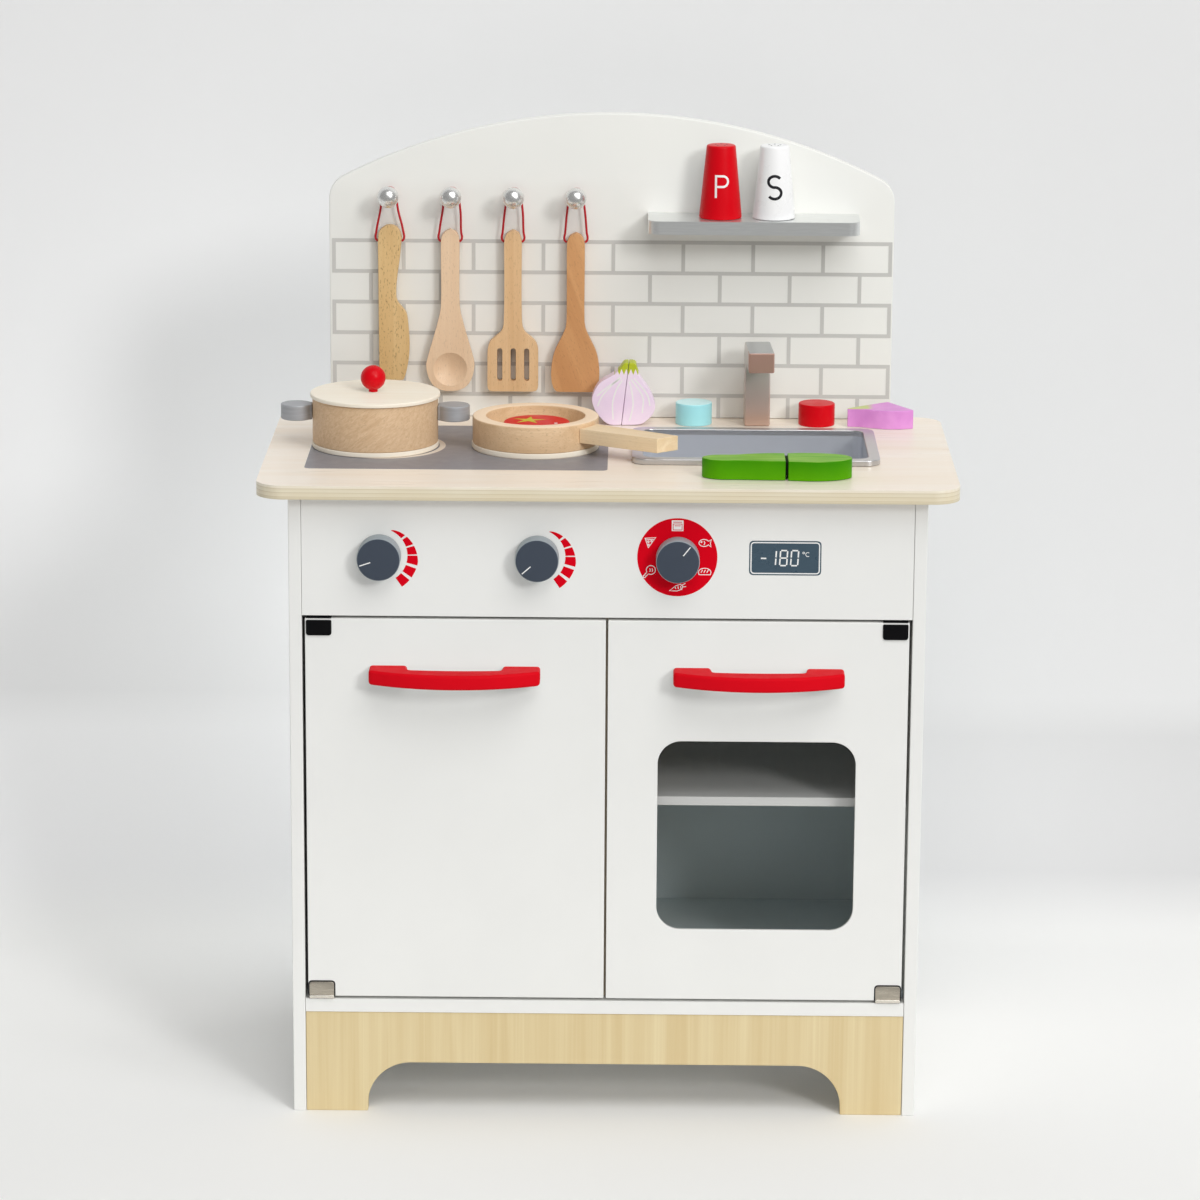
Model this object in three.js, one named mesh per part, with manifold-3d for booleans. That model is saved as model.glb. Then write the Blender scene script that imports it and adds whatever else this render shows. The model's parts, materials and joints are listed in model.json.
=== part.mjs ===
// Toy kitchen with its pot, pan, utensils and play food, in millimetres, +Z up.
// The origin is on the floor under the middle of the overall box, and the front faces -Y.
import * as THREE from "three";
import { mergeVertices } from "three/addons/utils/BufferGeometryUtils.js";
import Module from "manifold-3d";

const wasm = await Module();
wasm.setup();

// ---- driving dimensions ----
const GAP = 0.3; // between pieces that touch
const BOARD = 12; // doors, control panel, splashback, worktop, bottom panel
const SIDE_BOARD = 11; // side panels and divider
const FRONT = -127; // front plane of the cabinet and of the doors
const CABINET_BACK = 155;
const CABINET_HALF = 273; // half the width over the side panels
const INNER_HALF = CABINET_HALF - SIDE_BOARD;

const WORKTOP = { half: 300, front: -145, back: 165, top: 567.5, corner: 24 };
const WORKTOP_UNDER = WORKTOP.top - BOARD;
const BOTTOM_PANEL_UNDER = 92;
const BOTTOM_PANEL_TOP = BOTTOM_PANEL_UNDER + BOARD;
const PLINTH = { foot: 54, arch: 45, corner: 38, recess: 1 };
const BACK_BOARD = 5;
const OVEN_SHELF = { front: -100, bottom: 275, thick: 8 };
const BEHIND_DOORS = FRONT + BOARD + 2;
const CATCH = { half: 27, deep: 18, tall: 14 };

// The arch falls by drop at the distance across from the middle.
const SPLASH = { half: 254.5, across: 204.6, drop: 41, fillet: 22, top: 845, front: 153 };
const HOOK = { xs: [-200, -144, -88, -32], z: 772.5, y: 125, ball: 9.7, peg: 4.5, deep: 7 };
const UPPER_SHELF = { left: 32.7, right: 222, front: 103, bottom: 744, corner: 11 };

const PANEL_BOTTOM = 450; // lower edge of the control panel
const KNOB = { radius: 18.6, depth: 17.2, z: 503.3, spindle: 3, flange: 8, flangeThick: 2.5 };
const KNOB_XS = { hob_knob_left: -195, hob_knob_right: -60, oven_knob: 60 };

const DOOR = { outer: 259.4, inner: 1, bottom: 106.4, top: 447.4 };
const PIVOT = { x: DOOR.outer - 7.5, y: FRONT + BOARD / 2, pin: 2 };
const CLIP = { wide: 21.5, tall: 14, plate: 1.1, inset: 1.2, pinTall: 8 };
const WINDOW = { x: 130, z: 255.4, wide: 171, tall: 170, corner: 20.5, margin: 7, recess: 3.4, pane: 2 };
const HANDLE = {
  x: 130.5, half: 73.4, foot: 32, top: 406.8, tall: 13, ends: 20, middle: 37.7, reach: 17, inset: 2,
};

const SINK = {
  left: 20, right: 236, front: -51, back: 88, corner: 13, rim: 5, lip: 8.2, deep: 58, wall: 1.5,
};
const TAP = { x: 132.4, y: 127, wide: 22.8, thick: 18.4, top: 643.8, reach: 66, bend: 12, peg: 6, turn: 2.5 };
const TAP_KNOB = { radius: 16.4, tall: 19.7, y: 129.5, peg: 5 };
const COLD_TAP_X = 75.6;
const HOT_TAP_X = 186.7;

// Heights of the pot, the pan and their pieces are counted from the worktop.
const POT = { x: -206.4, y: 22.6, radius: 55.3, inner: 46.3, base: 4.6, floor: 9, top: 44.4 };
const BASE_LEDGE = 0.5; // how far the base discs stand out from the walls
const LID = {
  radius: 57.2, thick: 3.6, plug: 45.6, plugDeep: 3, ball: 11, ballLift: 12.3, ballShift: -1.8, neck: 4,
};
const POT_HANDLE = { radius: 14, away: 69.3, neck: 7, from: 24.1, to: 37.6 };
const PAN = { x: -65, y: 22.3, radius: 55.7, inner: 43.3, base: 5.2, floor: 8, top: 28.7 };
const PAN_HANDLE = { turn: -31.5, from: 12, to: 24.8 };
// In plan, before it is turned: the handle widens from the wall to a slanted end.
const PAN_HANDLE_PLAN = [[50.7, -13.8], [133, -12.6], [141, 9.2], [50.7, 12.5]];

const SHAKER = { y: 128, foot: 19.2, head: 12.9, tall: 65.3 };
const PEPPER_X = 97.4;
const SALT_X = 145.2;

const UTENSIL = { front: 141.2, back: 150 };
const UTENSIL_XS = [-199.6, -145.2, -88.6, -32];
const HANDLE_HALVES = [10.5, 8.2, 7.8, 8.1]; // at the cross hole
const BOWL = { radius: 25, lift: 19.7, z: 613.2 };
const SLOT = { pitch: 12.2, shift: 0.4, half: 2.4, low: 602.6, high: 633 };
const LOOP = { radius: 1, hole: 1.4, z: 729.5, away: 2.2 };
const FOOD_THICK = 17;
const ONION_FRONT = 117;
const TOMATO = { x: -63.8, y: 11, radius: 29 };
const SEGMENTS = 40;

// ---- colours, roughness and metalness ----
const paint = (color, roughness = 0.5, metalness = 0) =>
  new THREE.MeshStandardMaterial({ color, roughness, metalness });
const WHITE = paint(0xe9e9e6, 0.45);
const BIRCH = paint(0xefe0cb, 0.55);
const PLINTH_WOOD = paint(0xe0c998, 0.6);
const BEECH = paint(0xd8a873, 0.6);
const PALE_WOOD = paint(0xeed9b8, 0.6);
const SLATE = paint(0x48535e, 0.5);
const RED = paint(0xc40018, 0.4);
const SILVER = paint(0xa9abad, 0.4, 0.6);
const STEEL = paint(0xb8b2a8, 0.3, 0.9);
const BLACK = paint(0x17181a, 0.4);
const CLEAR = paint(0xd5dde0, 0.1);
const PALE_BLUE = paint(0x96dce2, 0.4);
const LILAC = paint(0xe3c6e4, 0.5);
const AUBERGINE_PAINT = paint(0xd083d0, 0.5);
const GREEN = paint(0x4c9a0c, 0.45);

const part = new THREE.Group();

function add(name, geometry, material) {
  const mesh = new THREE.Mesh(geometry, material);
  mesh.name = name;
  part.add(mesh);
}

// ---- solids ----
function toSolid(geometry) {
  const bare = new THREE.BufferGeometry();
  bare.setAttribute("position", geometry.getAttribute("position"));
  bare.setIndex(geometry.getIndex());
  const merged = mergeVertices(bare, 1e-3);
  const vertProperties = merged.getAttribute("position").array;
  const triVerts = new Uint32Array(merged.getIndex().array);
  return new wasm.Manifold(new wasm.Mesh({ numProp: 3, vertProperties, triVerts }));
}

function toGeometry(solid) {
  const mesh = solid.getMesh();
  const geometry = new THREE.BufferGeometry();
  geometry.setAttribute("position", new THREE.BufferAttribute(mesh.vertProperties, 3));
  geometry.setIndex(new THREE.BufferAttribute(mesh.triVerts, 1));
  geometry.computeVertexNormals();
  return geometry;
}

const join = (first, ...others) =>
  toGeometry(others.reduce((sum, other) => sum.add(toSolid(other)), toSolid(first)));

const cut = (body, ...tools) =>
  toGeometry(tools.reduce((rest, tool) => rest.subtract(toSolid(tool)), toSolid(body)));

const box = (x0, x1, y0, y1, z0, z1) =>
  new THREE.BoxGeometry(x1 - x0, y1 - y0, z1 - z0).translate((x0 + x1) / 2, (y0 + y1) / 2, (z0 + z1) / 2);

// A cylinder, or a cone frustum, standing on z0.
const upright = (x, y, z0, z1, low, high = low, segments = SEGMENTS) =>
  new THREE.CylinderGeometry(high, low, z1 - z0, segments)
    .rotateX(Math.PI / 2)
    .translate(x, y, (z0 + z1) / 2);

// A cylinder along Y.
const level = (x, z, y0, y1, radius, segments = SEGMENTS) =>
  new THREE.CylinderGeometry(radius, radius, y1 - y0, segments).translate(x, (y0 + y1) / 2, z);

// A shape drawn in plan, pulled up from z0 to z1.
const rise = (shape, z0, z1, curveSegments = 8) =>
  new THREE.ExtrudeGeometry(shape, { depth: z1 - z0, bevelEnabled: false, curveSegments })
    .translate(0, 0, z0);

// A shape drawn as seen from the front (x to the right, z up), from y0 back to y1.
const inDepth = (shape, y0, y1, curveSegments = 8) =>
  new THREE.ExtrudeGeometry(shape, { depth: y1 - y0, bevelEnabled: false, curveSegments })
    .rotateX(Math.PI / 2)
    .translate(0, y1, 0);

// A shape drawn as seen from the left side (y to the right, z up), from x0 to x1.
const sideways = (shape, x0, x1, curveSegments = 8) =>
  new THREE.ExtrudeGeometry(shape, { depth: x1 - x0, bevelEnabled: false, curveSegments })
    .rotateX(Math.PI / 2)
    .rotateZ(Math.PI / 2)
    .translate(x0, 0, 0);

function roundedRectangle(left, right, low, high, corner, lowCorner = corner) {
  const shape = new THREE.Shape();
  shape.moveTo(left + lowCorner, low);
  shape.lineTo(right - lowCorner, low);
  shape.absarc(right - lowCorner, low + lowCorner, lowCorner, -Math.PI / 2, 0);
  shape.lineTo(right, high - corner);
  shape.absarc(right - corner, high - corner, corner, 0, Math.PI / 2);
  shape.lineTo(left + corner, high);
  shape.absarc(left + corner, high - corner, corner, Math.PI / 2, Math.PI);
  shape.lineTo(left, low + lowCorner);
  shape.absarc(left + lowCorner, low + lowCorner, lowCorner, Math.PI, Math.PI * 1.5);
  return shape;
}

// ---- cabinet ----
function cabinet() {
  const inside = INNER_HALF - GAP;
  const underTop = WORKTOP_UNDER - GAP;
  const shelfBack = CABINET_BACK - BACK_BOARD - GAP;
  for (const [side, name] of [[-1, "left"], [1, "right"]]) {
    const [from, to] = [side * CABINET_HALF, side * INNER_HALF].sort((a, b) => a - b);
    add("side_panel_" + name, box(from, to, FRONT, CABINET_BACK, 0, underTop), WHITE);
  }
  const bottom = box(-inside, inside, FRONT, shelfBack, BOTTOM_PANEL_UNDER, BOTTOM_PANEL_TOP);
  add("bottom_panel", cut(bottom, ...pinHoles(BOTTOM_PANEL_TOP - 9, BOTTOM_PANEL_TOP + 1)), WHITE);
  add("plinth", plinth(inside), PLINTH_WOOD);
  const middle = SIDE_BOARD / 2;
  const divider = box(-middle, middle, BEHIND_DOORS, shelfBack, BOTTOM_PANEL_TOP + GAP, PANEL_BOTTOM - GAP);
  const { half, deep, tall } = CATCH;
  const catchTop = PANEL_BOTTOM - GAP;
  const catchFoot = catchTop - tall;
  const catchBack = BEHIND_DOORS + deep;
  const notch = box(-half, half, BEHIND_DOORS - 1, catchBack + GAP, catchFoot - GAP, catchTop + 1);
  add("divider_panel", cut(divider, notch), BIRCH);
  add("catch_block", box(-half, half, BEHIND_DOORS, catchBack, catchFoot, catchTop), PALE_WOOD);
  const { front, bottom: low, thick } = OVEN_SHELF;
  add("oven_shelf", box(middle + GAP, inside, front, shelfBack, low, low + thick), WHITE);
  const backFront = CABINET_BACK - BACK_BOARD;
  add("back_panel", box(-inside, inside, backFront, CABINET_BACK, BOTTOM_PANEL_UNDER, underTop), SLATE);
}

const pinHoles = (z0, z1) =>
  [-1, 1].map((side) => upright(side * PIVOT.x, PIVOT.y, z0, z1, PIVOT.pin + GAP, PIVOT.pin + GAP, 16));

function plinth(half) {
  const { foot, arch, corner, recess } = PLINTH;
  const legs = half - foot;
  const shape = new THREE.Shape();
  shape.moveTo(-half, 0);
  shape.lineTo(-legs, 0);
  shape.lineTo(-legs, arch - corner);
  shape.absarc(corner - legs, arch - corner, corner, Math.PI, Math.PI / 2, true);
  shape.lineTo(legs - corner, arch);
  shape.absarc(legs - corner, arch - corner, corner, Math.PI / 2, 0, true);
  shape.lineTo(legs, 0);
  shape.lineTo(half, 0);
  shape.lineTo(half, BOTTOM_PANEL_UNDER - GAP);
  shape.lineTo(-half, BOTTOM_PANEL_UNDER - GAP);
  return inDepth(shape, FRONT + recess, FRONT + recess + BOARD);
}

function controlPanel() {
  const half = INNER_HALF - GAP;
  const board = box(-half, half, FRONT, FRONT + BOARD, PANEL_BOTTOM, WORKTOP_UNDER - GAP);
  const holes = Object.values(KNOB_XS).map((x) =>
    level(x, KNOB.z, FRONT - 1, FRONT + BOARD + 1, KNOB.spindle + GAP, 20));
  add("control_panel", cut(board, ...holes, ...pinHoles(PANEL_BOTTOM - 1, PANEL_BOTTOM + 9)), WHITE);
}

function worktop() {
  const { half, front, back, top, corner } = WORKTOP;
  const board = rise(roundedRectangle(-half, half, front, back, corner), WORKTOP_UNDER, top);
  const pegHole = (x, y, radius) => upright(x, y, WORKTOP_UNDER - 1, top + 1, radius + GAP, radius + GAP, 20);
  const holes = [
    rise(sinkOutline(SINK.lip), WORKTOP_UNDER - 1, top + 1),
    pegHole(TAP.x, TAP.y, TAP.peg),
    pegHole(COLD_TAP_X, TAP_KNOB.y, TAP_KNOB.peg),
    pegHole(HOT_TAP_X, TAP_KNOB.y, TAP_KNOB.peg),
  ];
  add("worktop", cut(board, ...holes), BIRCH);
}

// The board behind the worktop: straight sides, a shoulder fillet and one shallow arch.
function splashback() {
  const { half, across, drop, fillet, top, front } = SPLASH;
  const radius = (across ** 2 + drop ** 2) / (2 * drop);
  const middle = top - radius;
  const filletX = half - fillet;
  const filletZ = middle + Math.sqrt((radius - fillet) ** 2 - filletX ** 2);
  const turn = Math.atan2(filletZ - middle, filletX);
  const shape = new THREE.Shape();
  const foot = WORKTOP.top + GAP;
  shape.moveTo(-half, foot);
  shape.lineTo(half, foot);
  shape.lineTo(half, filletZ);
  shape.absarc(filletX, filletZ, fillet, 0, turn);
  shape.absarc(0, middle, radius, turn, Math.PI - turn);
  shape.absarc(-filletX, filletZ, fillet, Math.PI - turn, Math.PI);
  const board = inDepth(shape, front, WORKTOP.back, 28);
  const holes = HOOK.xs.map((x) => level(x, HOOK.z, front - 1, front + HOOK.deep + GAP, HOOK.peg + GAP, 20));
  add("splashback", cut(board, ...holes), WHITE);
  const { left, right, front: shelfFront, bottom, corner } = UPPER_SHELF;
  const shelf = roundedRectangle(left, right, shelfFront, front - GAP, 0.5, corner);
  add("upper_shelf", rise(shelf, bottom, bottom + BOARD), SILVER);
  HOOK.xs.forEach((x, i) => {
    const ball = new THREE.SphereGeometry(HOOK.ball, 20, 14)
      .rotateX(Math.PI / 2)
      .translate(x, HOOK.y, HOOK.z);
    add("hook_" + (i + 1), join(ball, level(x, HOOK.z, HOOK.y, front + HOOK.deep, HOOK.peg, 16)), SILVER);
  });
}

// ---- sink and taps ----
function sinkOutline(inset) {
  const { left, right, front, back, corner } = SINK;
  return roundedRectangle(left + inset, right - inset, front + inset, back - inset, corner - inset / 3);
}

function sink() {
  const under = WORKTOP.top + GAP;
  const { rim, lip, deep, wall } = SINK;
  const bowl = rise(sinkOutline(lip + GAP), WORKTOP.top - deep, under + rim / 2, 5);
  const hollow = rise(sinkOutline(lip + GAP + wall), WORKTOP.top - deep + wall, under + rim + 1, 5);
  const edge = rise(sinkOutline(0), under, under + rim, 5);
  add("sink_basin", cut(join(edge, bowl), hollow), SILVER);
}

function taps() {
  const foot = WORKTOP.top + GAP;
  const { x, y, wide, thick, top, reach, bend, peg, turn } = TAP;
  const back = thick / 2;
  const inner = bend / 2;
  const profile = new THREE.Shape();
  profile.moveTo(-back, foot);
  profile.lineTo(back, foot);
  profile.lineTo(back, top - bend);
  profile.absarc(back - bend, top - bend, bend, 0, Math.PI / 2);
  profile.lineTo(back - reach, top);
  profile.lineTo(back - reach, top - thick);
  profile.lineTo(-back - inner, top - thick);
  profile.absarc(-back - inner, top - thick - inner, inner, Math.PI / 2, 0, true);
  const spout = sideways(profile, -wide / 2, wide / 2, 6);
  const pin = upright(0, 0, WORKTOP_UNDER, foot + 1, peg, peg, 20);
  const placed = join(spout, pin).rotateZ(THREE.MathUtils.degToRad(turn)).translate(x, y, 0);
  add("tap_spout", placed, STEEL);
  for (const [name, knobX, finish] of [["cold", COLD_TAP_X, PALE_BLUE], ["hot", HOT_TAP_X, RED]]) {
    const { radius, tall, y: knobY, peg: stem } = TAP_KNOB;
    const knob = upright(knobX, knobY, foot, foot + tall, radius);
    const pinBelow = upright(knobX, knobY, WORKTOP_UNDER, foot + 1, stem, stem, 20);
    add(name + "_tap_knob", join(knob, pinBelow), finish);
  }
}

// ---- control knobs on their spindles ----
function knobs() {
  const { radius, depth, z, spindle, flange, flangeThick } = KNOB;
  const face = FRONT - GAP - depth;
  const boreEnd = FRONT - GAP - depth * 0.7;
  const behind = FRONT + BOARD + GAP;
  for (const [name, x] of Object.entries(KNOB_XS)) {
    const bore = level(x, z, boreEnd, FRONT, spindle + GAP, 20);
    add(name, cut(level(x, z, face, FRONT - GAP, radius), bore), SLATE);
    const shaft = level(x, z, boreEnd + 1, behind + 1, spindle, 16);
    add(name + "_spindle", join(shaft, level(x, z, behind, behind + flangeThick, flange, 24)), STEEL);
  }
}

// ---- doors ----
function doors() {
  for (const [side, name] of [[-1, "cupboard"], [1, "oven"]]) {
    const [from, to] = [side * DOOR.outer, side * DOOR.inner].sort((a, b) => a - b);
    const board = box(from, to, FRONT, FRONT + BOARD, DOOR.bottom, DOOR.top);
    add(name + "_door", name === "oven" ? cut(board, windowHole(), paneRebate()) : board, WHITE);
    add(name + "_handle", handle(side * HANDLE.x), RED);
    add(name + "_hinge_top", clip(side, 1), BLACK);
    add(name + "_hinge_bottom", clip(side, -1), STEEL);
  }
  const paneFront = FRONT + WINDOW.recess + GAP;
  add("oven_window", inDepth(paneOutline(0), paneFront, paneFront + WINDOW.pane, 4), CLEAR);
}

function windowHole() {
  const { x, z, wide, tall, corner } = WINDOW;
  const outline = roundedRectangle(x - wide / 2, x + wide / 2, z - tall / 2, z + tall / 2, corner);
  return inDepth(outline, FRONT - 1, FRONT + BOARD + 1);
}

function paneOutline(extra) {
  const { x, z, wide, tall, margin } = WINDOW;
  const across = wide / 2 + margin + extra;
  const up = tall / 2 + margin + extra;
  return roundedRectangle(x - across, x + across, z - up, z + up, 6 + extra);
}

// The pane drops into this step in the back of the door.
function paneRebate() {
  return inDepth(paneOutline(GAP), FRONT + WINDOW.recess, FRONT + BOARD + 1, 4);
}

// A bar that bows outwards between two feet, drawn in plan.
function handle(x) {
  const { half, foot, top, tall, ends, middle, reach, inset } = HANDLE;
  const back = FRONT - GAP;
  const bow = middle - ends;
  const radius = (half ** 2 + bow ** 2) / (2 * bow);
  const centre = back - middle + radius;
  const turn = Math.asin(half / radius);
  const shape = new THREE.Shape();
  shape.moveTo(x - half, back);
  shape.lineTo(x - half, back - ends);
  shape.absarc(x, centre, radius, -Math.PI / 2 - turn, -Math.PI / 2 + turn);
  shape.lineTo(x + half, back);
  shape.lineTo(x + half - foot, back);
  shape.lineTo(x + half - foot - inset, back - reach + inset);
  shape.quadraticCurveTo(x, back - reach - inset, x - half + foot + inset, back - reach + inset);
  shape.lineTo(x - half + foot, back);
  return rise(shape, top - tall, top, 16);
}

// A sheet-metal clip around a door's corner, with the pivot pin standing on it.
function clip(side, up) {
  const { wide, tall, plate, inset } = CLIP;
  const outer = DOOR.outer - inset;
  const [x0, x1] = [side * outer, side * (outer - wide)].sort((a, b) => a - b);
  const front = FRONT - GAP - plate;
  const back = FRONT + BOARD + GAP + plate;
  const edge = up > 0 ? DOOR.top + GAP : DOOR.bottom - GAP;
  const sheet = (y0, y1, z0, z1) => {
    const [low, high] = [edge + up * z0, edge + up * z1].sort((a, b) => a - b);
    return box(x0, x1, y0, y1, low, high);
  };
  const [pinFrom, pinTo] = [edge + up * plate / 2, edge + up * CLIP.pinTall].sort((a, b) => a - b);
  return join(
    sheet(front, back, 0, plate),
    sheet(front, front + plate, -tall, plate),
    sheet(back - plate, back, -tall, plate),
    upright(side * PIVOT.x, PIVOT.y, pinFrom, pinTo, PIVOT.pin, PIVOT.pin, 16),
  );
}

// ---- pot, pan and shakers ----
const onTop = (height) => WORKTOP.top + height;

function vessel({ x, y, radius, inner, base, floor, top }) {
  const outside = upright(x, y, onTop(base + GAP), onTop(top), radius, radius, 48);
  return cut(outside, upright(x, y, onTop(floor), onTop(top + 1), inner, inner, 48));
}

function pot() {
  const { x, y, radius, base, top } = POT;
  add("pot_body", vessel(POT), BEECH);
  add("pot_base", upright(x, y, onTop(GAP), onTop(base), radius + BASE_LEDGE), PALE_WOOD);
  for (const [side, name] of [[-1, "left"], [1, "right"]]) {
    const { radius: round, away, neck, from, to } = POT_HANDLE;
    const disc = upright(x + side * away, y, onTop(from), onTop(to), round, round, 28);
    const [x0, x1] = [x + side * (radius - 3), x + side * away].sort((a, b) => a - b);
    const root = box(x0, x1, y - neck, y + neck, onTop(from), onTop(to));
    const wall = upright(x, y, onTop(0), onTop(top), radius + GAP, radius + GAP, 48);
    add("pot_handle_" + name, cut(join(disc, root), wall), SILVER);
  }
  const under = top + GAP;
  const disc = upright(x, y, onTop(under), onTop(under + LID.thick), LID.radius, LID.radius, 48);
  const plug = upright(x, y, onTop(under - LID.plugDeep), onTop(under + 1), LID.plug);
  add("pot_lid", join(disc, plug), PALE_WOOD);
  const lidTop = under + LID.thick + GAP;
  const middle = lidTop + LID.ballLift;
  const ballX = x + LID.ballShift;
  const ball = new THREE.SphereGeometry(LID.ball, 24, 16)
    .rotateX(Math.PI / 2)
    .translate(ballX, y, onTop(middle));
  const neck = upright(ballX, y, onTop(lidTop), onTop(middle), LID.neck, LID.neck, 16);
  add("pot_lid_knob", join(ball, neck), RED);
}

function pan() {
  const { x, y, radius, base, top } = PAN;
  add("pan_body", vessel(PAN), BEECH);
  add("pan_base", upright(x, y, onTop(GAP), onTop(base), radius + BASE_LEDGE), PALE_WOOD);
  const outline = new THREE.Shape(PAN_HANDLE_PLAN.map(([along, across]) => new THREE.Vector2(along, across)));
  const bar = rise(outline, onTop(PAN_HANDLE.from), onTop(PAN_HANDLE.to))
    .rotateZ(THREE.MathUtils.degToRad(PAN_HANDLE.turn))
    .translate(x, y, 0);
  const wall = upright(x, y, onTop(0), onTop(top), radius + GAP, radius + GAP, 48);
  add("pan_handle", cut(bar, wall), PALE_WOOD);
}

function shakers() {
  const foot = UPPER_SHELF.bottom + BOARD + GAP;
  const { y, foot: low, head, tall } = SHAKER;
  add("pepper_shaker", upright(PEPPER_X, y, foot, foot + tall, low, head), RED);
  add("salt_shaker", upright(SALT_X, y, foot, foot + tall, low, head), WHITE);
}

// ---- utensils ----
// Half outlines are [height, half width] from the top of the handle down, mirrored about the handle's middle.
const SPOON = [[741, 0], [738.5, 5], [733, 7.9], [720, 8.3], [674, 8.2], [657, 11.2], [641, 15.6],
  [624, 20.5], [616, 21.8], [607, 20.2], [599, 16], [594.4, 9], [593.2, 0]];
const TURNER = [[740.6, 0], [738, 5], [732.5, 7.5], [722, 7.9], [690, 7.7], [662, 8], [652, 8.8], [647, 11.5],
  [643, 16], [639.5, 20], [634, 22.4], [628, 22.9], [612, 22.9], [598, 22.9], [594.6, 21.6], [593.3, 18],
  [593.3, 0]];
const SPATULA = [[738.4, 0], [736, 5], [730.5, 7.6], [722, 8.1], [690, 8], [665, 8], [652, 8.8], [641, 13.6],
  [632, 18], [624, 20.4], [614, 21.7], [606, 21.7], [599, 20.4], [594.6, 18], [593.2, 14.5], [593.2, 0]];
const KNIFE = [[-9.8, 603.4], [-10.2, 640], [-10.4, 700], [-10.4, 734], [-6.4, 742], [0.2, 744.5], [6.8, 742],
  [10.5, 735], [10.3, 728], [8.6, 712], [6.6, 698], [5.6, 686], [5.9, 677], [8.4, 672.3], [12.3, 667.5],
  [15.2, 662.5], [16.8, 648], [17.4, 635], [16.6, 622], [14.8, 612], [12.8, 605], [9.8, 602.8], [-6, 602.6]];

function mirrored(half, x) {
  const points = half.map(([z, w]) => new THREE.Vector2(x + w, z));
  const left = half.slice(1, -1).reverse().map(([z, w]) => new THREE.Vector2(x - w, z));
  return new THREE.Shape(new THREE.SplineCurve([...points, ...left, points[0]]).getPoints(64));
}

function utensils() {
  const [knifeX, spoonX, turnerX, spatulaX] = UTENSIL_XS;
  const { front, back } = UTENSIL;
  const hole = (x) => new THREE.CylinderGeometry(LOOP.hole, LOOP.hole, 60, 12).rotateZ(Math.PI / 2)
    .translate(x, (front + back) / 2, LOOP.z);
  const blade = new THREE.SplineCurve([...KNIFE, KNIFE[0]].map(([x, z]) => new THREE.Vector2(knifeX + x, z)));
  add("knife", cut(inDepth(new THREE.Shape(blade.getPoints(66)), front, back), hole(knifeX)), BEECH);
  const bowl = new THREE.SphereGeometry(BOWL.radius, 32, 20).translate(spoonX, front - BOWL.lift, BOWL.z);
  add("spoon", cut(inDepth(mirrored(SPOON, spoonX), front, back), bowl, hole(spoonX)), BEECH);
  const slots = [-1, 0, 1].map((i) => {
    const { pitch, shift, half, low, high } = SLOT;
    const middle = turnerX + shift + i * pitch;
    const outline = roundedRectangle(middle - half, middle + half, low, high, half - 0.01);
    return inDepth(outline, front - 1, back + 1, 5);
  });
  add("turner", cut(inDepth(mirrored(TURNER, turnerX), front, back), ...slots, hole(turnerX)), BEECH);
  add("spatula", cut(inDepth(mirrored(SPATULA, spatulaX), front, back), hole(spatulaX)), BEECH);
  ["knife", "spoon", "turner", "spatula"].forEach((name, i) =>
    add(name + "_loop", loop(UTENSIL_XS[i], HANDLE_HALVES[i], HOOK.xs[i]), RED));
}

// A cord out of one end of the cross hole, up over the peg and back to the other end.
function loop(x, halfWidth, pegX) {
  const y = (UTENSIL.front + UTENSIL.back) / 2;
  const over = HOOK.peg + GAP + LOOP.radius;
  const route = [
    [x - halfWidth - GAP, LOOP.z],
    [x - halfWidth - LOOP.away, LOOP.z + 2.5],
    [x - halfWidth - LOOP.away + 0.6, LOOP.z + 9],
    [pegX - over - 2.2, HOOK.z - 15],
    [pegX - over, HOOK.z - 1],
    [pegX - over * 0.72, HOOK.z + over * 0.7],
    [pegX, HOOK.z + over],
    [pegX + over * 0.72, HOOK.z + over * 0.7],
    [pegX + over, HOOK.z - 1],
    [pegX + over + 2.2, HOOK.z - 15],
    [x + halfWidth + LOOP.away - 0.6, LOOP.z + 9],
    [x + halfWidth + LOOP.away, LOOP.z + 2.5],
    [x + halfWidth + GAP, LOOP.z],
  ];
  const extrudePath = new THREE.CatmullRomCurve3(route.map(([px, pz]) => new THREE.Vector3(px, y, pz)));
  const circle = new THREE.EllipseCurve(0, 0, LOOP.radius, LOOP.radius).getPoints(8).slice(0, -1);
  const section = new THREE.Shape(circle);
  return new THREE.ExtrudeGeometry(section, { steps: 36, extrudePath, curveSegments: 1 });
}

// ---- play food ----
const ONION_LEFT = [[10, 567.9], [-1, 568.4], [-9.2, 575], [-15, 584], [-16.4, 593.8], [-9.8, 606], [3, 614],
  [8.8, 620], [12.4, 624.6], [16.4, 625.2]];
const ONION_RIGHT = [[16.8, 625.2], [22.4, 624.4], [24.4, 618], [27.5, 610.5], [34.6, 600.5], [40.4, 587],
  [39, 579], [34.4, 573.6], [27, 568.6], [10.4, 567.9]];
const CUCUMBER_LONG = [[151.4, -109.8], [133, -109.8], [112, -108.8], [96, -108.8], [86, -104.6],
  [80.3, -97.4], [82.8, -90.4], [91.4, -85.4], [108.6, -84.2], [121.6, -80.2], [138.9, -77.2], [151.4, -77]];
const CUCUMBER_SHORT = [[153.8, -77], [165, -75.4], [182, -75.8], [199, -80], [207.4, -88], [208.2, -98],
  [199, -107], [187, -111.6], [172, -113], [153.8, -110.6]];
const AUBERGINE_FRONT = [[214.1, 117.4], [225, 116.6], [237, 110.4], [250, 106.6], [262, 107.4],
  [273, 111.4]];
const AUBERGINE_BACK = [[273.2, 113], [262, 132], [252.2, 149.6], [232, 134], [214.2, 119]];

const toVectors = (points) => points.map(([x, y]) => new THREE.Vector2(x, y));

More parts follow.
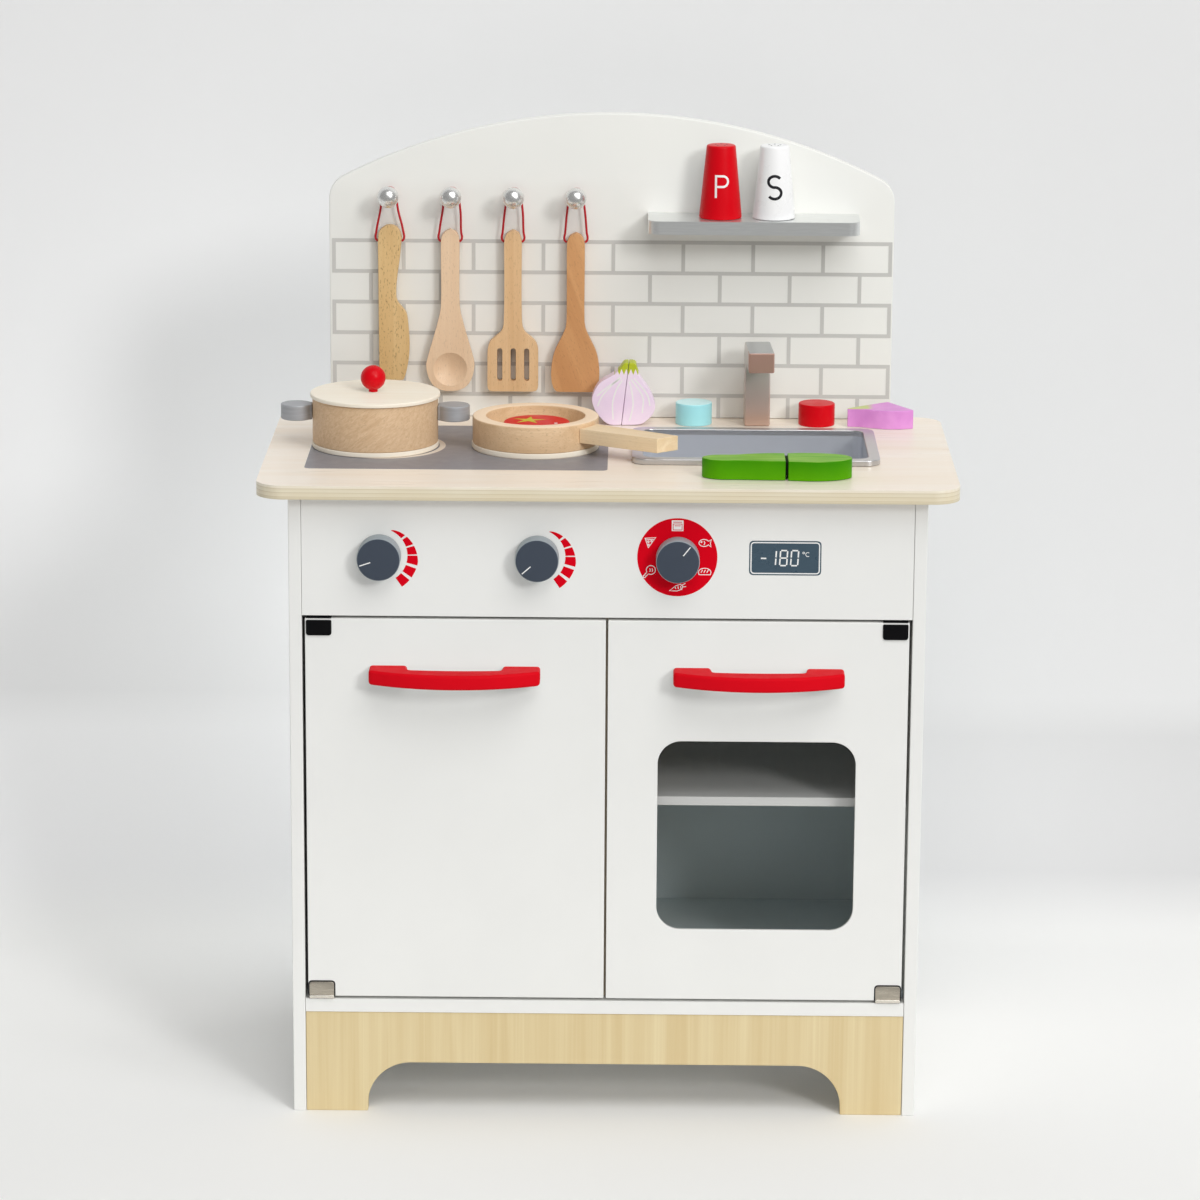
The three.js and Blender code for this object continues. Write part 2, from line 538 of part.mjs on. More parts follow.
// The curved side is a spline; the first and last points are joined by the straight cut face.
const halfFood = (points) => new THREE.Shape(new THREE.SplineCurve(toVectors(points)).getPoints(30));

function food() {
  const foot = WORKTOP.top + GAP;
  add("onion_left", inDepth(halfFood(ONION_LEFT), ONION_FRONT, ONION_FRONT + FOOD_THICK), LILAC);
  add("onion_right", inDepth(halfFood(ONION_RIGHT), ONION_FRONT, ONION_FRONT + FOOD_THICK), LILAC);
  add("cucumber_long", rise(halfFood(CUCUMBER_LONG), foot, foot + FOOD_THICK), GREEN);
  add("cucumber_short", rise(halfFood(CUCUMBER_SHORT), foot, foot + FOOD_THICK), GREEN);
  const wedge = new THREE.Shape(toVectors(AUBERGINE_FRONT.concat(AUBERGINE_BACK)));
  add("aubergine", rise(wedge, foot, foot + FOOD_THICK), AUBERGINE_PAINT);
  const { x, y, radius } = TOMATO;
  add("tomato", upright(x, y, onTop(PAN.floor + GAP), onTop(PAN.floor + GAP + FOOD_THICK), radius), RED);
}

cabinet();
controlPanel();
worktop();
splashback();
sink();
taps();
knobs();
doors();
pot();
pan();
shakers();
utensils();
food();

export default part;
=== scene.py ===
"""The looks of the toy kitchen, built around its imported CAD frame.

Sizes are in millimetres, in the frame's own axes (+Z up, the doors face -Y), and become metres
when a mesh is made.
"""
import json
import math

import bmesh
import bpy
from mathutils import Matrix, Vector

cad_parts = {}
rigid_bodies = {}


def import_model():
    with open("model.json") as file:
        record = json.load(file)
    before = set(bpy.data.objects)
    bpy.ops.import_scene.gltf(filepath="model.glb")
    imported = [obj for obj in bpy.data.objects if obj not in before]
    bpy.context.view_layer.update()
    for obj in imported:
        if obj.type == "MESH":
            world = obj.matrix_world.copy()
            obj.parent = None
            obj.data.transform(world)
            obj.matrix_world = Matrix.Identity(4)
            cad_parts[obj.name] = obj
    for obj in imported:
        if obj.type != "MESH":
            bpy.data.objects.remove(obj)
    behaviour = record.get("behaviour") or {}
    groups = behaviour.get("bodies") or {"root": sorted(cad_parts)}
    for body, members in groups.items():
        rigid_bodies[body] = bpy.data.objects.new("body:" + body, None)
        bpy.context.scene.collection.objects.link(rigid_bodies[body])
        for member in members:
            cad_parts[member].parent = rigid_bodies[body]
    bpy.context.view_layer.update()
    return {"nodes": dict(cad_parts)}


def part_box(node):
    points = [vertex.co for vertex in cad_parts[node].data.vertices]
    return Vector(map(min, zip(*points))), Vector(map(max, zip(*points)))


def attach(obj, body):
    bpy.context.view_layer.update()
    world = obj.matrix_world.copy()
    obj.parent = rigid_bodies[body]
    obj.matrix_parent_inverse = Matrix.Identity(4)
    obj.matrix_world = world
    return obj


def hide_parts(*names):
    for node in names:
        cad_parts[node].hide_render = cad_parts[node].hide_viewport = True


MM = 0.001

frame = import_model()


def span(node):
    """The lowest and highest corner of a CAD node, in millimetres."""
    low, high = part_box(node)
    return low / MM, high / MM


def middle(node):
    low, high = span(node)
    return (low + high) / 2


# ---- camera ----
FOCAL_LENGTH = 136.7
CAMERA_PLACE = Vector((0.0222, -3.9141, 1.404))
YAW, PITCH, ROLL = -0.0075, 0.2429, 0.0064


def make_camera():
    forward = Vector((math.sin(YAW) * math.cos(PITCH), math.cos(YAW) * math.cos(PITCH), -math.sin(PITCH)))
    level = forward.cross(Vector((0, 0, 1))).normalized()
    upright = level.cross(forward)
    right = level * math.cos(ROLL) + upright * math.sin(ROLL)
    up = upright * math.cos(ROLL) - level * math.sin(ROLL)
    camera = bpy.data.objects.new("camera", bpy.data.cameras.new("camera"))
    camera.data.lens = FOCAL_LENGTH
    turn = Matrix((right, up, -forward)).transposed().to_4x4()
    camera.matrix_world = Matrix.Translation(CAMERA_PLACE) @ turn
    bpy.context.scene.collection.objects.link(camera)
    bpy.context.scene.camera = camera


make_camera()


# ---- materials ----
def linear(colour):
    """An sRGB colour of 0 to 255 as linear values, with alpha."""
    def curve(value):
        value /= 255
        return value / 12.92 if value <= 0.04045 else ((value + 0.055) / 1.055) ** 2.4
    return [curve(value) for value in colour] + [1.0]


def darker(colour, share):
    """A share of a colour's light, as linear values."""
    return [value * share for value in linear(colour)[:3]] + [1.0]


class Recipe:
    """A material and the record's slot it is for, with short ways to add nodes to it."""

    def __init__(self, name, slot, colour, roughness, **sockets):
        self.slot = slot
        self.material = bpy.data.materials.new(name)
        self.material.use_nodes = True
        self.tree = self.material.node_tree
        self.shader = self.tree.nodes["Principled BSDF"]
        self.shader.inputs["Base Color"].default_value = linear(colour)
        self.shader.inputs["Roughness"].default_value = roughness
        for socket, value in sockets.items():
            self.shader.inputs[socket.replace("_", " ")].default_value = value
        self.place = self.add("ShaderNodeTexCoord").outputs["Object"]

    def add(self, kind, values=None, **settings):
        made = self.tree.nodes.new(kind)
        for key, value in settings.items():
            setattr(made, key, value)
        for key, value in (values or {}).items():
            socket = made.inputs[key]
            if isinstance(value, bpy.types.NodeSocket):
                self.tree.links.new(value, socket)
            else:
                socket.default_value = value
        return made

    def stretched(self, scale, turn=(0, 0, 0)):
        """Object coordinates, turned and then scaled, so that a texture runs along the grain."""
        turned = self.add("ShaderNodeMapping", {"Vector": self.place, "Rotation": turn})
        return self.add("ShaderNodeMapping", {"Vector": turned.outputs[0], "Scale": scale}).outputs[0]

    def noise(self, place, scale=1.0, detail=3.0, distortion=0.0):
        values = {"Vector": place, "Scale": scale, "Detail": detail, "Distortion": distortion}
        return self.add("ShaderNodeTexNoise", values).outputs[0]

    def spread(self, value, low, high, to_low, to_high):
        """A value's range from low to high, mapped to another range and held at its ends."""
        values = {"Value": value, "From Min": low, "From Max": high, "To Min": to_low, "To Max": to_high}
        return self.add("ShaderNodeMapRange", values).outputs[0]

    def math(self, operation, first, second=0.0):
        return self.add("ShaderNodeMath", {0: first, 1: second}, operation=operation).outputs[0]

    def mix(self, share, first, second, blend="MIX"):
        values = {"Factor": share, 6: first, 7: second}
        return self.add("ShaderNodeMix", values, data_type="RGBA", blend_type=blend).outputs[2]

    def axes(self, vector=None):
        return self.add("ShaderNodeSeparateXYZ", {0: vector or self.place}).outputs

    def facing(self):
        """The surface's own normal, in the object's axes."""
        normal = self.tree.nodes.new("ShaderNodeTexCoord").outputs["Normal"]
        return self.axes(normal)

    def paint_lit_top(self, tint, colour):
        """The tint, turning into another colour on the faces that look up: a painted highlight for the light
        that falls from above.
        """
        if not colour:
            return tint
        return self.mix(self.spread(self.facing()[2], 0.6, 0.95, 0, 1), tint, linear(colour))

    def connect(self, colour=None, roughness=None, height=None, relief=0.02, strength=0.4):
        """Links what is given, and returns the finish: the material and its slot."""
        if colour is not None:
            self.tree.links.new(colour, self.shader.inputs["Base Color"])
        if roughness is not None:
            self.tree.links.new(roughness, self.shader.inputs["Roughness"])
        if height is not None:
            values = {"Height": height, "Distance": relief * MM, "Strength": strength}
            bump = self.add("ShaderNodeBump", values)
            self.tree.links.new(bump.outputs[0], self.shader.inputs["Normal"])
        return self.material, self.slot


def painted(name, slot, colour, roughness=0.42, shade=0.05, relief=0.012, top=None, **sockets):
    """Paint on board or turned wood: faint cloudy shade and orange peel.

    shade is how much darker the clouds are, and top is a colour painted on the faces that look up, a painted
    highlight for the light from above.
    """
    recipe = Recipe(name, slot, colour, roughness, **sockets)
    cloud = recipe.noise(recipe.place, 14, 3)
    deeper = darker(colour, 1 - shade)
    tint = recipe.mix(recipe.spread(cloud, 0.3, 0.7, 0, 1), linear(colour), deeper)
    peel = recipe.noise(recipe.place, 700, 2)
    rough = recipe.spread(recipe.noise(recipe.place, 90, 4), 0.3, 0.7, roughness - 0.05, roughness + 0.06)
    return recipe.connect(recipe.paint_lit_top(tint, top), rough, peel, relief)


WOOD_ROUGHNESS = 0.5


def wood(name, slot, light, dark, along=(4, 70, 70), turn=(0, 0, 0), bands=0.6, flecks=0.0, top=None):
    """Sanded wood: growth bands and fibres stretched along the grain, and the dark dashes of beech.

    along has its smallest number on the grain's own axis, and top is a colour painted on the faces that look
    up, a painted highlight for the light from above.
    """
    grain = min(along)
    recipe = Recipe(name, slot, light, WOOD_ROUGHNESS)
    place = recipe.stretched(along, turn)
    band = recipe.spread(recipe.noise(place, 0.8, 4, 0.9), 0.32, 0.68, 0, bands)
    tint = recipe.mix(band, linear(light), linear(dark))
    fibre = recipe.noise(recipe.stretched([a * (1.6 if a == grain else 9) for a in along], turn), 1, 3)
    tint = recipe.mix(recipe.spread(fibre, 0.35, 0.65, 0, 0.28), tint, linear(dark))
    if flecks:
        dash = recipe.noise(recipe.stretched([300 if a == grain else 1100 for a in along], turn), 1, 1)
        tint = recipe.mix(recipe.spread(dash, 0.62, 0.7, 0, flecks), tint, darker(dark, 0.55))
    rough = recipe.spread(fibre, 0.3, 0.7, WOOD_ROUGHNESS - 0.06, WOOD_ROUGHNESS + 0.08)
    return recipe.connect(recipe.paint_lit_top(tint, top), rough, fibre, 0.05)


def metallic_paint(name, slot, colour, roughness, metallic, brushed=(1, 1, 1), flaked=0.12):
    """Metal or metallic paint with fine flakes, drawn out where brushed is small."""
    recipe = Recipe(name, slot, colour, roughness, Metallic=metallic)
    flake = recipe.noise(recipe.stretched([900 * b for b in brushed]), 1, 2)
    tint = recipe.mix(recipe.spread(flake, 0.35, 0.65, 0, 1), linear(colour), darker(colour, 1 - flaked))
    rough = recipe.spread(flake, 0.3, 0.7, roughness - 0.02, roughness + 0.03)
    return recipe.connect(tint, rough, flake, 0.003, 0.15)


def plywood():
    """The worktop: pale varnished face grain, and the layers showing on its edges."""
    low, high = span("worktop")
    face_light, face_dark = (252, 243, 231), (243, 227, 206)
    recipe = Recipe("worktop_ply", "worktop_birch", face_light, 0.42)
    place = recipe.stretched((3, 40, 1))
    band = recipe.spread(recipe.noise(place, 0.8, 5, 1.2), 0.3, 0.7, 0, 0.8)
    fibre = recipe.noise(recipe.stretched((14, 420, 60)), 1, 3)
    face = recipe.mix(band, linear(face_light), linear(face_dark))
    face = recipe.mix(recipe.spread(fibre, 0.35, 0.65, 0, 0.25), face, linear(face_dark))
    depth = recipe.spread(recipe.axes()[2], low.z * MM, high.z * MM, 0, 1)
    layers = recipe.add("ShaderNodeValToRGB", {"Fac": depth})
    ramp = layers.color_ramp
    glue, dark_glue = (206, 190, 156), (204, 188, 152)
    stops = [(0.0, (212, 200, 172)), (0.17, (226, 215, 188)), (0.2, glue), (0.23, (234, 224, 200)),
             (0.47, (230, 219, 192)), (0.5, glue), (0.53, (236, 227, 204)), (0.75, (233, 223, 198)),
             (0.78, dark_glue), (0.81, (243, 234, 215)), (1.0, (246, 238, 222))]
    for position, colour in stops[2:]:
        ramp.elements.new(position)
    for element, (position, colour) in zip(ramp.elements, stops):
        element.position = position
        element.color = linear(colour)
    edge = recipe.mix(recipe.spread(fibre, 0.35, 0.65, 0, 0.2), layers.outputs[0], linear((214, 194, 150)))
    upward = recipe.math("ABSOLUTE", recipe.facing()[2])
    tint = recipe.mix(recipe.spread(upward, 0.72, 0.9, 0, 1), edge, face)
    return recipe.connect(tint, recipe.spread(fibre, 0.3, 0.7, 0.27, 0.38), fibre, 0.02)


WHITE = painted("white_satin_paint", "white_paint", (240, 240, 237), 0.4, 0.02)
SPLASH_WHITE = painted("splashback_white_paint", "white_paint", (241, 241, 236), 0.42, 0.02)
RED = painted("red_gloss_paint", "red_paint", (220, 0, 20), 0.34, 0.08, 0.003, IOR=1.25)
HANDLE_RED = painted("red_satin_paint", "red_paint", (221, 14, 30), 0.45, 0.06, 0.002,
                     IOR=1.15, Specular_IOR_Level=0.2)
CAVITY = painted("interior_pale_paint", "slate_paint", (216, 230, 235), 0.6, 0.03, 0.004)
HOB_GREY = painted("hob_grey_print", "slate_paint", (139, 137, 142), 0.42, 0.05)
PRINT_GREY = painted("brick_line_print", "slate_paint", (203, 202, 198), 0.5, 0.04)
PRINT_WHITE = painted("white_print", "white_paint", (245, 245, 243), 0.45, 0.02)
# Black print on the salt shaker, and painted shade for holes, cross cuts and the outline round the hinge
# clips.
BLACK_PRINT_AND_SHADE = painted("black_print_and_painted_shade", "black_metal", (34, 34, 38), 0.45, 0.05, Specular_IOR_Level=0.2)
PRINT_SCREEN = painted("screen_print", "slate_paint", (64, 84, 98), 0.3, 0.05)
PRINT_RED = painted("red_print", "red_paint", (220, 0, 26), 0.5, 0.05, 0.004, IOR=1.15)
RING_PALE = painted("burner_ring_print", "slate_paint", (226, 214, 200), 0.45, 0.04)
CALYX_PRINT = painted("calyx_print", "green_paint", (206, 190, 40), 0.45, 0.05)
# The knob's paler top colour is a painted highlight and reflection. The knob has one paint.
PALE_BLUE = painted("pale_blue_paint", "pale_blue_paint", (170, 238, 246), 0.34, 0.02, top=(210, 250, 252))
SALT_WHITE = painted("white_gloss_paint", "white_wood", (250, 250, 250), 0.3, 0.02, Coat_Weight=0.2)
SILVER = metallic_paint("silver_paint", "silver_paint", (236, 236, 234), 0.27, 0.9)
SHELF_SILVER = metallic_paint("brushed_silver_paint", "silver_paint", (234, 236, 235), 0.3, 0.85,
                              (0.08, 1, 1), 0.06)
DULL_SILVER = metallic_paint("dull_silver_paint", "silver_paint", (174, 176, 180), 0.5, 0.35,
                             (0.04, 0.04, 0.5))
STEEL = metallic_paint("bare_steel", "steel", (190, 182, 168), 0.28, 1.0, (0.1, 1, 1))
# A paler copy of steel, a painted highlight on the bottom clips' lips.
STEEL_PAINTED_HIGHLIGHT = metallic_paint("lip_steel_painted_highlight", "steel", (236, 230, 218), 0.22, 0.7)
CUT_PATCH = painted("hook_and_loop", "green_paint", (46, 60, 40), 0.95, 0.3, 0.2, Specular_IOR_Level=0.1)
# Near-black: the pin washers, and a painted dark reflection on the top hinge clips.
BLACK_STEEL_AND_DARK_REFLECTION = painted("black_steel_and_painted_reflection", "black_metal", (8, 8, 10), 0.5, 0.1, 0.01, IOR=1.2)
PALE_BEECH = wood("pale_beech", "beech", (242, 213, 180), (222, 184, 146), (60, 60, 4), flecks=0.25)
YELLOW_BEECH = wood("yellow_beech", "beech", (230, 198, 144), (206, 164, 104), (60, 60, 5), flecks=0.8)
TURNER_BEECH = wood("turner_beech", "beech", (234, 196, 150), (212, 168, 118), (80, 80, 4), flecks=0.3)
ORANGE_BEECH = wood("orange_beech", "beech", (226, 172, 118), (196, 138, 86), (60, 60, 4),
                    (0, 0.35, 0), 0.8, 0.3)
POT_BEECH = wood("pot_beech", "beech", (230, 200, 164), (196, 157, 114), (100, 560, 560),
                 (0, 0.6, 0), 0.5, 0.2)
# The pan's paler top colour is a painted highlight for the light that falls on its rim from above.
PAN_BEECH = wood("pan_beech", "beech", (234, 203, 165), (206, 168, 125), (10, 80, 80),
                 flecks=0.3, top=(249, 224, 194))
MAPLE = wood("pale_maple", "pale_wood", (251, 244, 229), (243, 229, 206), (5, 60, 60), bands=0.4)
HANDLE_MAPLE = wood("handle_maple", "pale_wood", (246, 224, 190), (224, 194, 150), (5, 80, 120),
                    (0, 0, 0.55), 0.7, 0.15)
PLINTH_WOOD = wood("plinth_poplar", "plinth_wood", (230, 213, 170), (214, 190, 140), (70, 70, 2.4), bands=0.8)
EDGE_PLY = wood("divider_birch", "worktop_birch", (236, 220, 196), (218, 194, 160), (50, 6, 4))
PLY = plywood()


def clear_pane():
    """Thin clear plastic with faint scuffs."""
    recipe = Recipe("clear_acrylic", "clear_pane", (40, 52, 54), 0.04, Alpha=0.08, IOR=1.49)
    scuff = recipe.noise(recipe.place, 300, 4)
    return recipe.connect(None, recipe.spread(scuff, 0.45, 0.75, 0.03, 0.1))


def cucumber_paint():
    """Deep green sides and a paler printed top with faint streaks."""
    top = span("cucumber_long")[1].z
    recipe = Recipe("cucumber_paint", "green_paint", (74, 152, 0), 0.4, IOR=1.2)
    streak = recipe.noise(recipe.stretched((30, 260, 30)), 1, 3)
    pale = recipe.mix(recipe.spread(streak, 0.35, 0.65, 0, 1), linear((148, 192, 80)), linear((98, 168, 22)))
    cloud = recipe.noise(recipe.place, 30, 3)
    height = recipe.axes()[2]
    rise = recipe.spread(height, (top - 17) * MM, top * MM, 0, 0.75)
    depth = recipe.math("ADD", rise, recipe.spread(cloud, 0.3, 0.7, 0, 0.25))
    side = recipe.mix(depth, linear((92, 168, 0)), linear((52, 136, 0)))
    share = recipe.spread(height, (top - 0.5) * MM, (top - 0.2) * MM, 0, 1)
    return recipe.connect(recipe.mix(share, side, pale), None, streak, 0.02)


def sink_paint():
    """Silver plastic, bluish in the bowl, and more like polished metal on the rim."""
    top = span("worktop")[1].z
    recipe = Recipe("sink_silver_plastic", "sink_plastic", (216, 219, 225), 0.3)
    rim = recipe.spread(recipe.axes()[2], (top - 0.2) * MM, (top + 0.6) * MM, 0, 1)
    recipe.tree.links.new(recipe.spread(rim, 0, 1, 0.6, 0.95), recipe.shader.inputs["Metallic"])
    tint = recipe.mix(rim, linear((218, 221, 227)), linear((206, 205, 206)))
    fine = recipe.noise(recipe.place, 900, 2)
    return recipe.connect(tint, recipe.spread(fine, 0.3, 0.7, 0.29, 0.33), fine, 0.002, 0.1)


def onion_paint():
    """Lilac skin under a yellow-green cap with a zigzag lower edge."""
    high = span("onion_left")[1]
    recipe = Recipe("onion_paint", "lilac_paint", (238, 214, 238), 0.42)
    across, _, height = recipe.axes()
    cloud = recipe.noise(recipe.place, 40, 3)
    skin = recipe.mix(recipe.spread(cloud, 0.3, 0.7, 0, 1), linear((250, 234, 249)), linear((243, 221, 245)))
    teeth = recipe.math("PINGPONG", recipe.math("ADD", across, 1.0), 2.1 * MM)
    edge = recipe.math("SUBTRACT", height, recipe.math("MULTIPLY", teeth, 2.6))
    share = recipe.spread(edge, (high.z - 11.4) * MM, (high.z - 10.9) * MM, 0, 1)
    tint = recipe.mix(share, skin, linear((186, 198, 38)))
    return recipe.connect(tint, None, cloud, 0.03)


def aubergine_paint():
    """Violet paint with a soft green patch printed on the top at the stalk end."""
    low, high = span("aubergine")
    recipe = Recipe("aubergine_paint", "aubergine_paint", (216, 142, 212), 0.4)
    across, deep, height = recipe.axes()
    cloud = recipe.noise(recipe.place, 60, 3)
    skin = recipe.mix(recipe.spread(cloud, 0.3, 0.7, 0, 1), linear((232, 156, 225)), linear((217, 136, 212)))
    wander = recipe.spread(cloud, 0.3, 0.7, -3 * MM, 3 * MM)
    reach = recipe.math("ADD", recipe.math("SUBTRACT", across, low.x * MM), wander)
    patch = recipe.spread(reach, 17 * MM, 23 * MM, 1, 0)
    top = recipe.spread(height, (high.z - 0.6) * MM, (high.z - 0.3) * MM, 0, 1)
    back = recipe.spread(deep, (low.y + 8) * MM, (low.y + 11) * MM, 0, 1)
    share = recipe.math("MULTIPLY", recipe.math("MULTIPLY", patch, top), back)
    tint = recipe.mix(share, skin, linear((200, 208, 130)))
    return recipe.connect(tint, None, cloud, 0.02)


def tap_paint_with_painted_reflection():
    """Silver paint with a painted reflection: warmer low on the post and on the nozzle's front, which look at
    the worktop, standing in for its wood seen in them, and a darker grey painted on the faces that look up.
    """
    low = span("tap_spout")[0]
    recipe = Recipe("tap_silver_paint_painted_reflection", "silver_paint", (180, 178, 176), 0.28, Metallic=0.5)
    # Painted reflection: the warm colours stand for the worktop mirrored in the silver, and the upward faces
    # get a painted grey.
    upward = recipe.spread(recipe.facing()[2], 0.5, 0.9, 0, 1)
    rise = recipe.spread(recipe.axes()[2], 575 * MM, 620 * MM, 0, 1)
    nozzle = recipe.spread(recipe.axes()[1], (low.y + 12) * MM, (low.y + 16) * MM, 1, 0)
    side = recipe.mix(rise, linear((204, 174, 158)), linear((206, 200, 196)))
    side = recipe.mix(nozzle, side, linear((190, 152, 138)))
    flake = recipe.noise(recipe.place, 900, 2)
    tint = recipe.mix(upward, side, linear((176, 178, 178)))
    return recipe.connect(tint, None, flake, 0.01, 0.2)


CLEAR = clear_pane()
SINK_SILVER = sink_paint()
CUCUMBER = cucumber_paint()
ONION = onion_paint()
AUBERGINE = aubergine_paint()
TAP_PAINTED_REFLECTION = tap_paint_with_painted_reflection()
CORD = painted("red_cord", "red_cord", (190, 8, 30), 0.5, 0.12, 0.1)
# Black painted shade standing for the recesses of screw cross cuts and drain holes, under the steel slot.
STEEL_SLOT_PAINTED_SHADE = (BLACK_PRINT_AND_SHADE[0], "steel")
GLOWING = {finish[0] for finish in (RED, HANDLE_RED, PALE_BLUE, AUBERGINE)}


def studio_paper_painted_light():
    """White on the floor and a shade greyer on the wall. Across the sweep between, light and shade are
    painted in: paler on the left, where the cabinet's shadow falls, and darker on the right, under the
    softbox.
    """
    recipe = Recipe("studio_paper_painted_light", None, (238, 238, 238), 0.9)
    level = recipe.spread(recipe.facing()[2], 0.0, 1.0, 0, 1)
    tint = recipe.mix(level, linear((231, 231, 231)), linear((247, 247, 245)))
    slope = recipe.math("MULTIPLY", level, recipe.math("SUBTRACT", 1.0, level))
    # Painted light and shade across the sweep, evening out the cabinet's shadow on the left and the softbox's
    # light on the right.
    across = recipe.spread(recipe.axes()[0], -0.6, 0.6, 0, 1)
    sweep = recipe.mix(across, linear((244, 244, 244)), linear((216, 216, 216)))
    return recipe.connect(recipe.mix(recipe.spread(slope, 0, 0.16, 0, 1), tint, sweep))


BACKDROP = studio_paper_painted_light()


# ---- meshes ----
def finish_mesh(mesh, material, sharp=38):
    for polygon in mesh.polygons:
        polygon.use_smooth = True
    mesh.set_sharp_from_angle(angle=math.radians(sharp))
    mesh.materials.append(material)


def piece(name, points, faces, finish, body, *replaced):
    """A closed mesh of the object, from points in millimetres."""
    material, slot = finish
    mesh = bpy.data.meshes.new(name)
    mesh.from_pydata([Vector(point) * MM for point in points], [], faces)
    tidy = bmesh.new()
    tidy.from_mesh(mesh)
    bmesh.ops.recalc_face_normals(tidy, faces=tidy.faces)
    tidy.to_mesh(mesh)
    tidy.free()
    finish_mesh(mesh, material)
    made = bpy.data.objects.new(name, mesh)
    bpy.context.scene.collection.objects.link(made)
    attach(made, body)
    if replaced:
        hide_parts(*replaced)
    return made


def rounded(corners, radius, steps=5, closed=True):
    """A polyline's corners as arcs. radius is one number, or one for each corner."""
    radii = radius if isinstance(radius, (list, tuple)) else [radius] * len(corners)
    made = []
    count = len(corners)
    for i, (corner, size) in enumerate(zip(corners, radii)):
        here = Vector(corner)
        ends = not closed and i in (0, count - 1)
        if ends or size <= 0:
            made.append(here)
            continue
        before = Vector(corners[i - 1]) - here
        after = Vector(corners[(i + 1) % count]) - here
        half = before.angle(after) / 2
        reach = min(size / math.tan(half), before.length * 0.49, after.length * 0.49)
        start = here + before.normalized() * reach
        end = here + after.normalized() * reach
        for k in range(steps + 1):
            t = k / steps
            made.append(start * (1 - t) ** 2 + here * 2 * t * (1 - t) + end * t * t)
    return made


def grown(outline, amount):
    """A closed outline moved outwards by amount, with mitred corners."""
    count = len(outline)
    area = sum(outline[i - 1].cross(outline[i]) for i in range(count))
    sign = 1 if area > 0 else -1
    made = []
    for i, here in enumerate(outline):
        before = (here - outline[i - 1]).normalized()
        after = (outline[(i + 1) % count] - here).normalized()
        first = Vector((before.y, -before.x)) * sign
        second = Vector((after.y, -after.x)) * sign
        made.append(here + (first + second) / max(1 + first.dot(second), 0.3) * amount)
    return made


def flat(level):
    """Plan: outline points lie across X and Y, and heights run up from level."""
    return lambda u, v, w: (u, v, level + w)


def front(depth):
    """Front view: outline points lie across X and Z, and heights come forward from depth."""
    return lambda u, v, w: (u, depth - w, v)


def behind(depth):
    """Front view seen from behind: heights go back from depth."""
    return lambda u, v, w: (u, depth + w, v)


def slab(name, outline, thick, place, finish, body, *replaced, edge=0.0, steps=3):
    """An outline pulled up to a plate, with its upper rim rounded by edge."""
    outline = [Vector(point) for point in outline]
    outline = [point for i, point in enumerate(outline) if (point - outline[i - 1]).length > 0.001]
    levels = [(0.0, 0.0)]
    if edge:
        turns = [math.pi / 2 * k / steps for k in range(steps + 1)]
        levels += [(edge * (math.cos(turn) - 1), thick - edge + edge * math.sin(turn)) for turn in turns]
    else:
        levels.append((0.0, thick))
    count = len(outline)
    points = [place(p.x, p.y, height) for shift, height in levels for p in grown(outline, shift)]
    faces = [tuple(range(count)), tuple(range(len(points) - count, len(points)))]
    for level in range(len(levels) - 1):
        start = level * count
        faces += [(start + i, start + (i + 1) % count, start + count + (i + 1) % count, start + count + i)
                  for i in range(count)]
    return piece(name, points, faces, finish, body, *replaced)


def lathe(name, profile, centre, finish, body, *replaced, axis="Z", steps=96):
    """A profile of (radius, height) turned about an axis through centre. Y points its heights forward."""
    rings, points, faces = [], [], []
    for radius, height in profile:
        turns = range(steps) if radius > 1e-6 else range(1)
        ring = []
        for k in turns:
            a = 2 * math.pi * k / steps
            u, v = radius * math.cos(a), radius * math.sin(a)
            shift = (u, v, height) if axis == "Z" else (u, -height, v)
            ring.append(len(points))
            points.append(Vector(centre) + Vector(shift))
        rings.append(ring)
    closed = len(rings[0]) > 1
    pairs = list(zip(rings, rings[1:])) + ([(rings[-1], rings[0])] if closed else [])
    for low, high in pairs:
        for k in range(steps):
            after = k + 1
            corners = [low[k % len(low)], low[after % len(low)], high[after % len(high)], high[k % len(high)]]
            face = tuple(dict.fromkeys(corners))
            if len(face) > 2:
                faces.append(face)
    return piece(name, points, faces, finish, body, *replaced)


def ribbons(name, lines, width, thick, place, finish, body):
    """Flat printed lines of one width along polylines, as one piece."""
    points, faces = [], []
    for line in lines:
        line = [Vector(point) for point in line]
        closed = (line[0] - line[-1]).length < 1e-6 and len(line) > 2
        line = line[:-1] if closed else line
        count, start = len(line), len(points)
        for i, here in enumerate(line):
            last = line[i - 1] if i or closed else here
            following = line[(i + 1) % count] if i < count - 1 or closed else here
            before, after = here - last, following - here
            before = before.normalized() if before.length else after.normalized()
            after = after.normalized() if after.length else before
            side = Vector((-before.y - after.y, before.x + after.x))
            side *= width / 2 / max(side.length_squared / 2, 0.5)
            for shift, height in ((side, 0), (-side, 0), (-side, thick), (side, thick)):
                points.append(place(here.x + shift.x, here.y + shift.y, height))
        for i in range(count if closed else count - 1):
            a, b = start + 4 * i, start + 4 * ((i + 1) % count)
            faces += [(a + k, a + (k + 1) % 4, b + (k + 1) % 4, b + k) for k in range(4)]
        if not closed:
            faces += [tuple(range(start, start + 4)), tuple(range(start + 4 * count - 4, start + 4 * count))]
    return piece(name, points, faces, finish, body)


def arc(x, y, radius, start, end, steps=12, squeeze=1.0):
    """Points on an arc, angles in degrees anticlockwise from +X."""
    turns = [math.radians(start + (end - start) * k / steps) for k in range(steps + 1)]
    return [(x + radius * math.cos(turn), y + radius * squeeze * math.sin(turn)) for turn in turns]


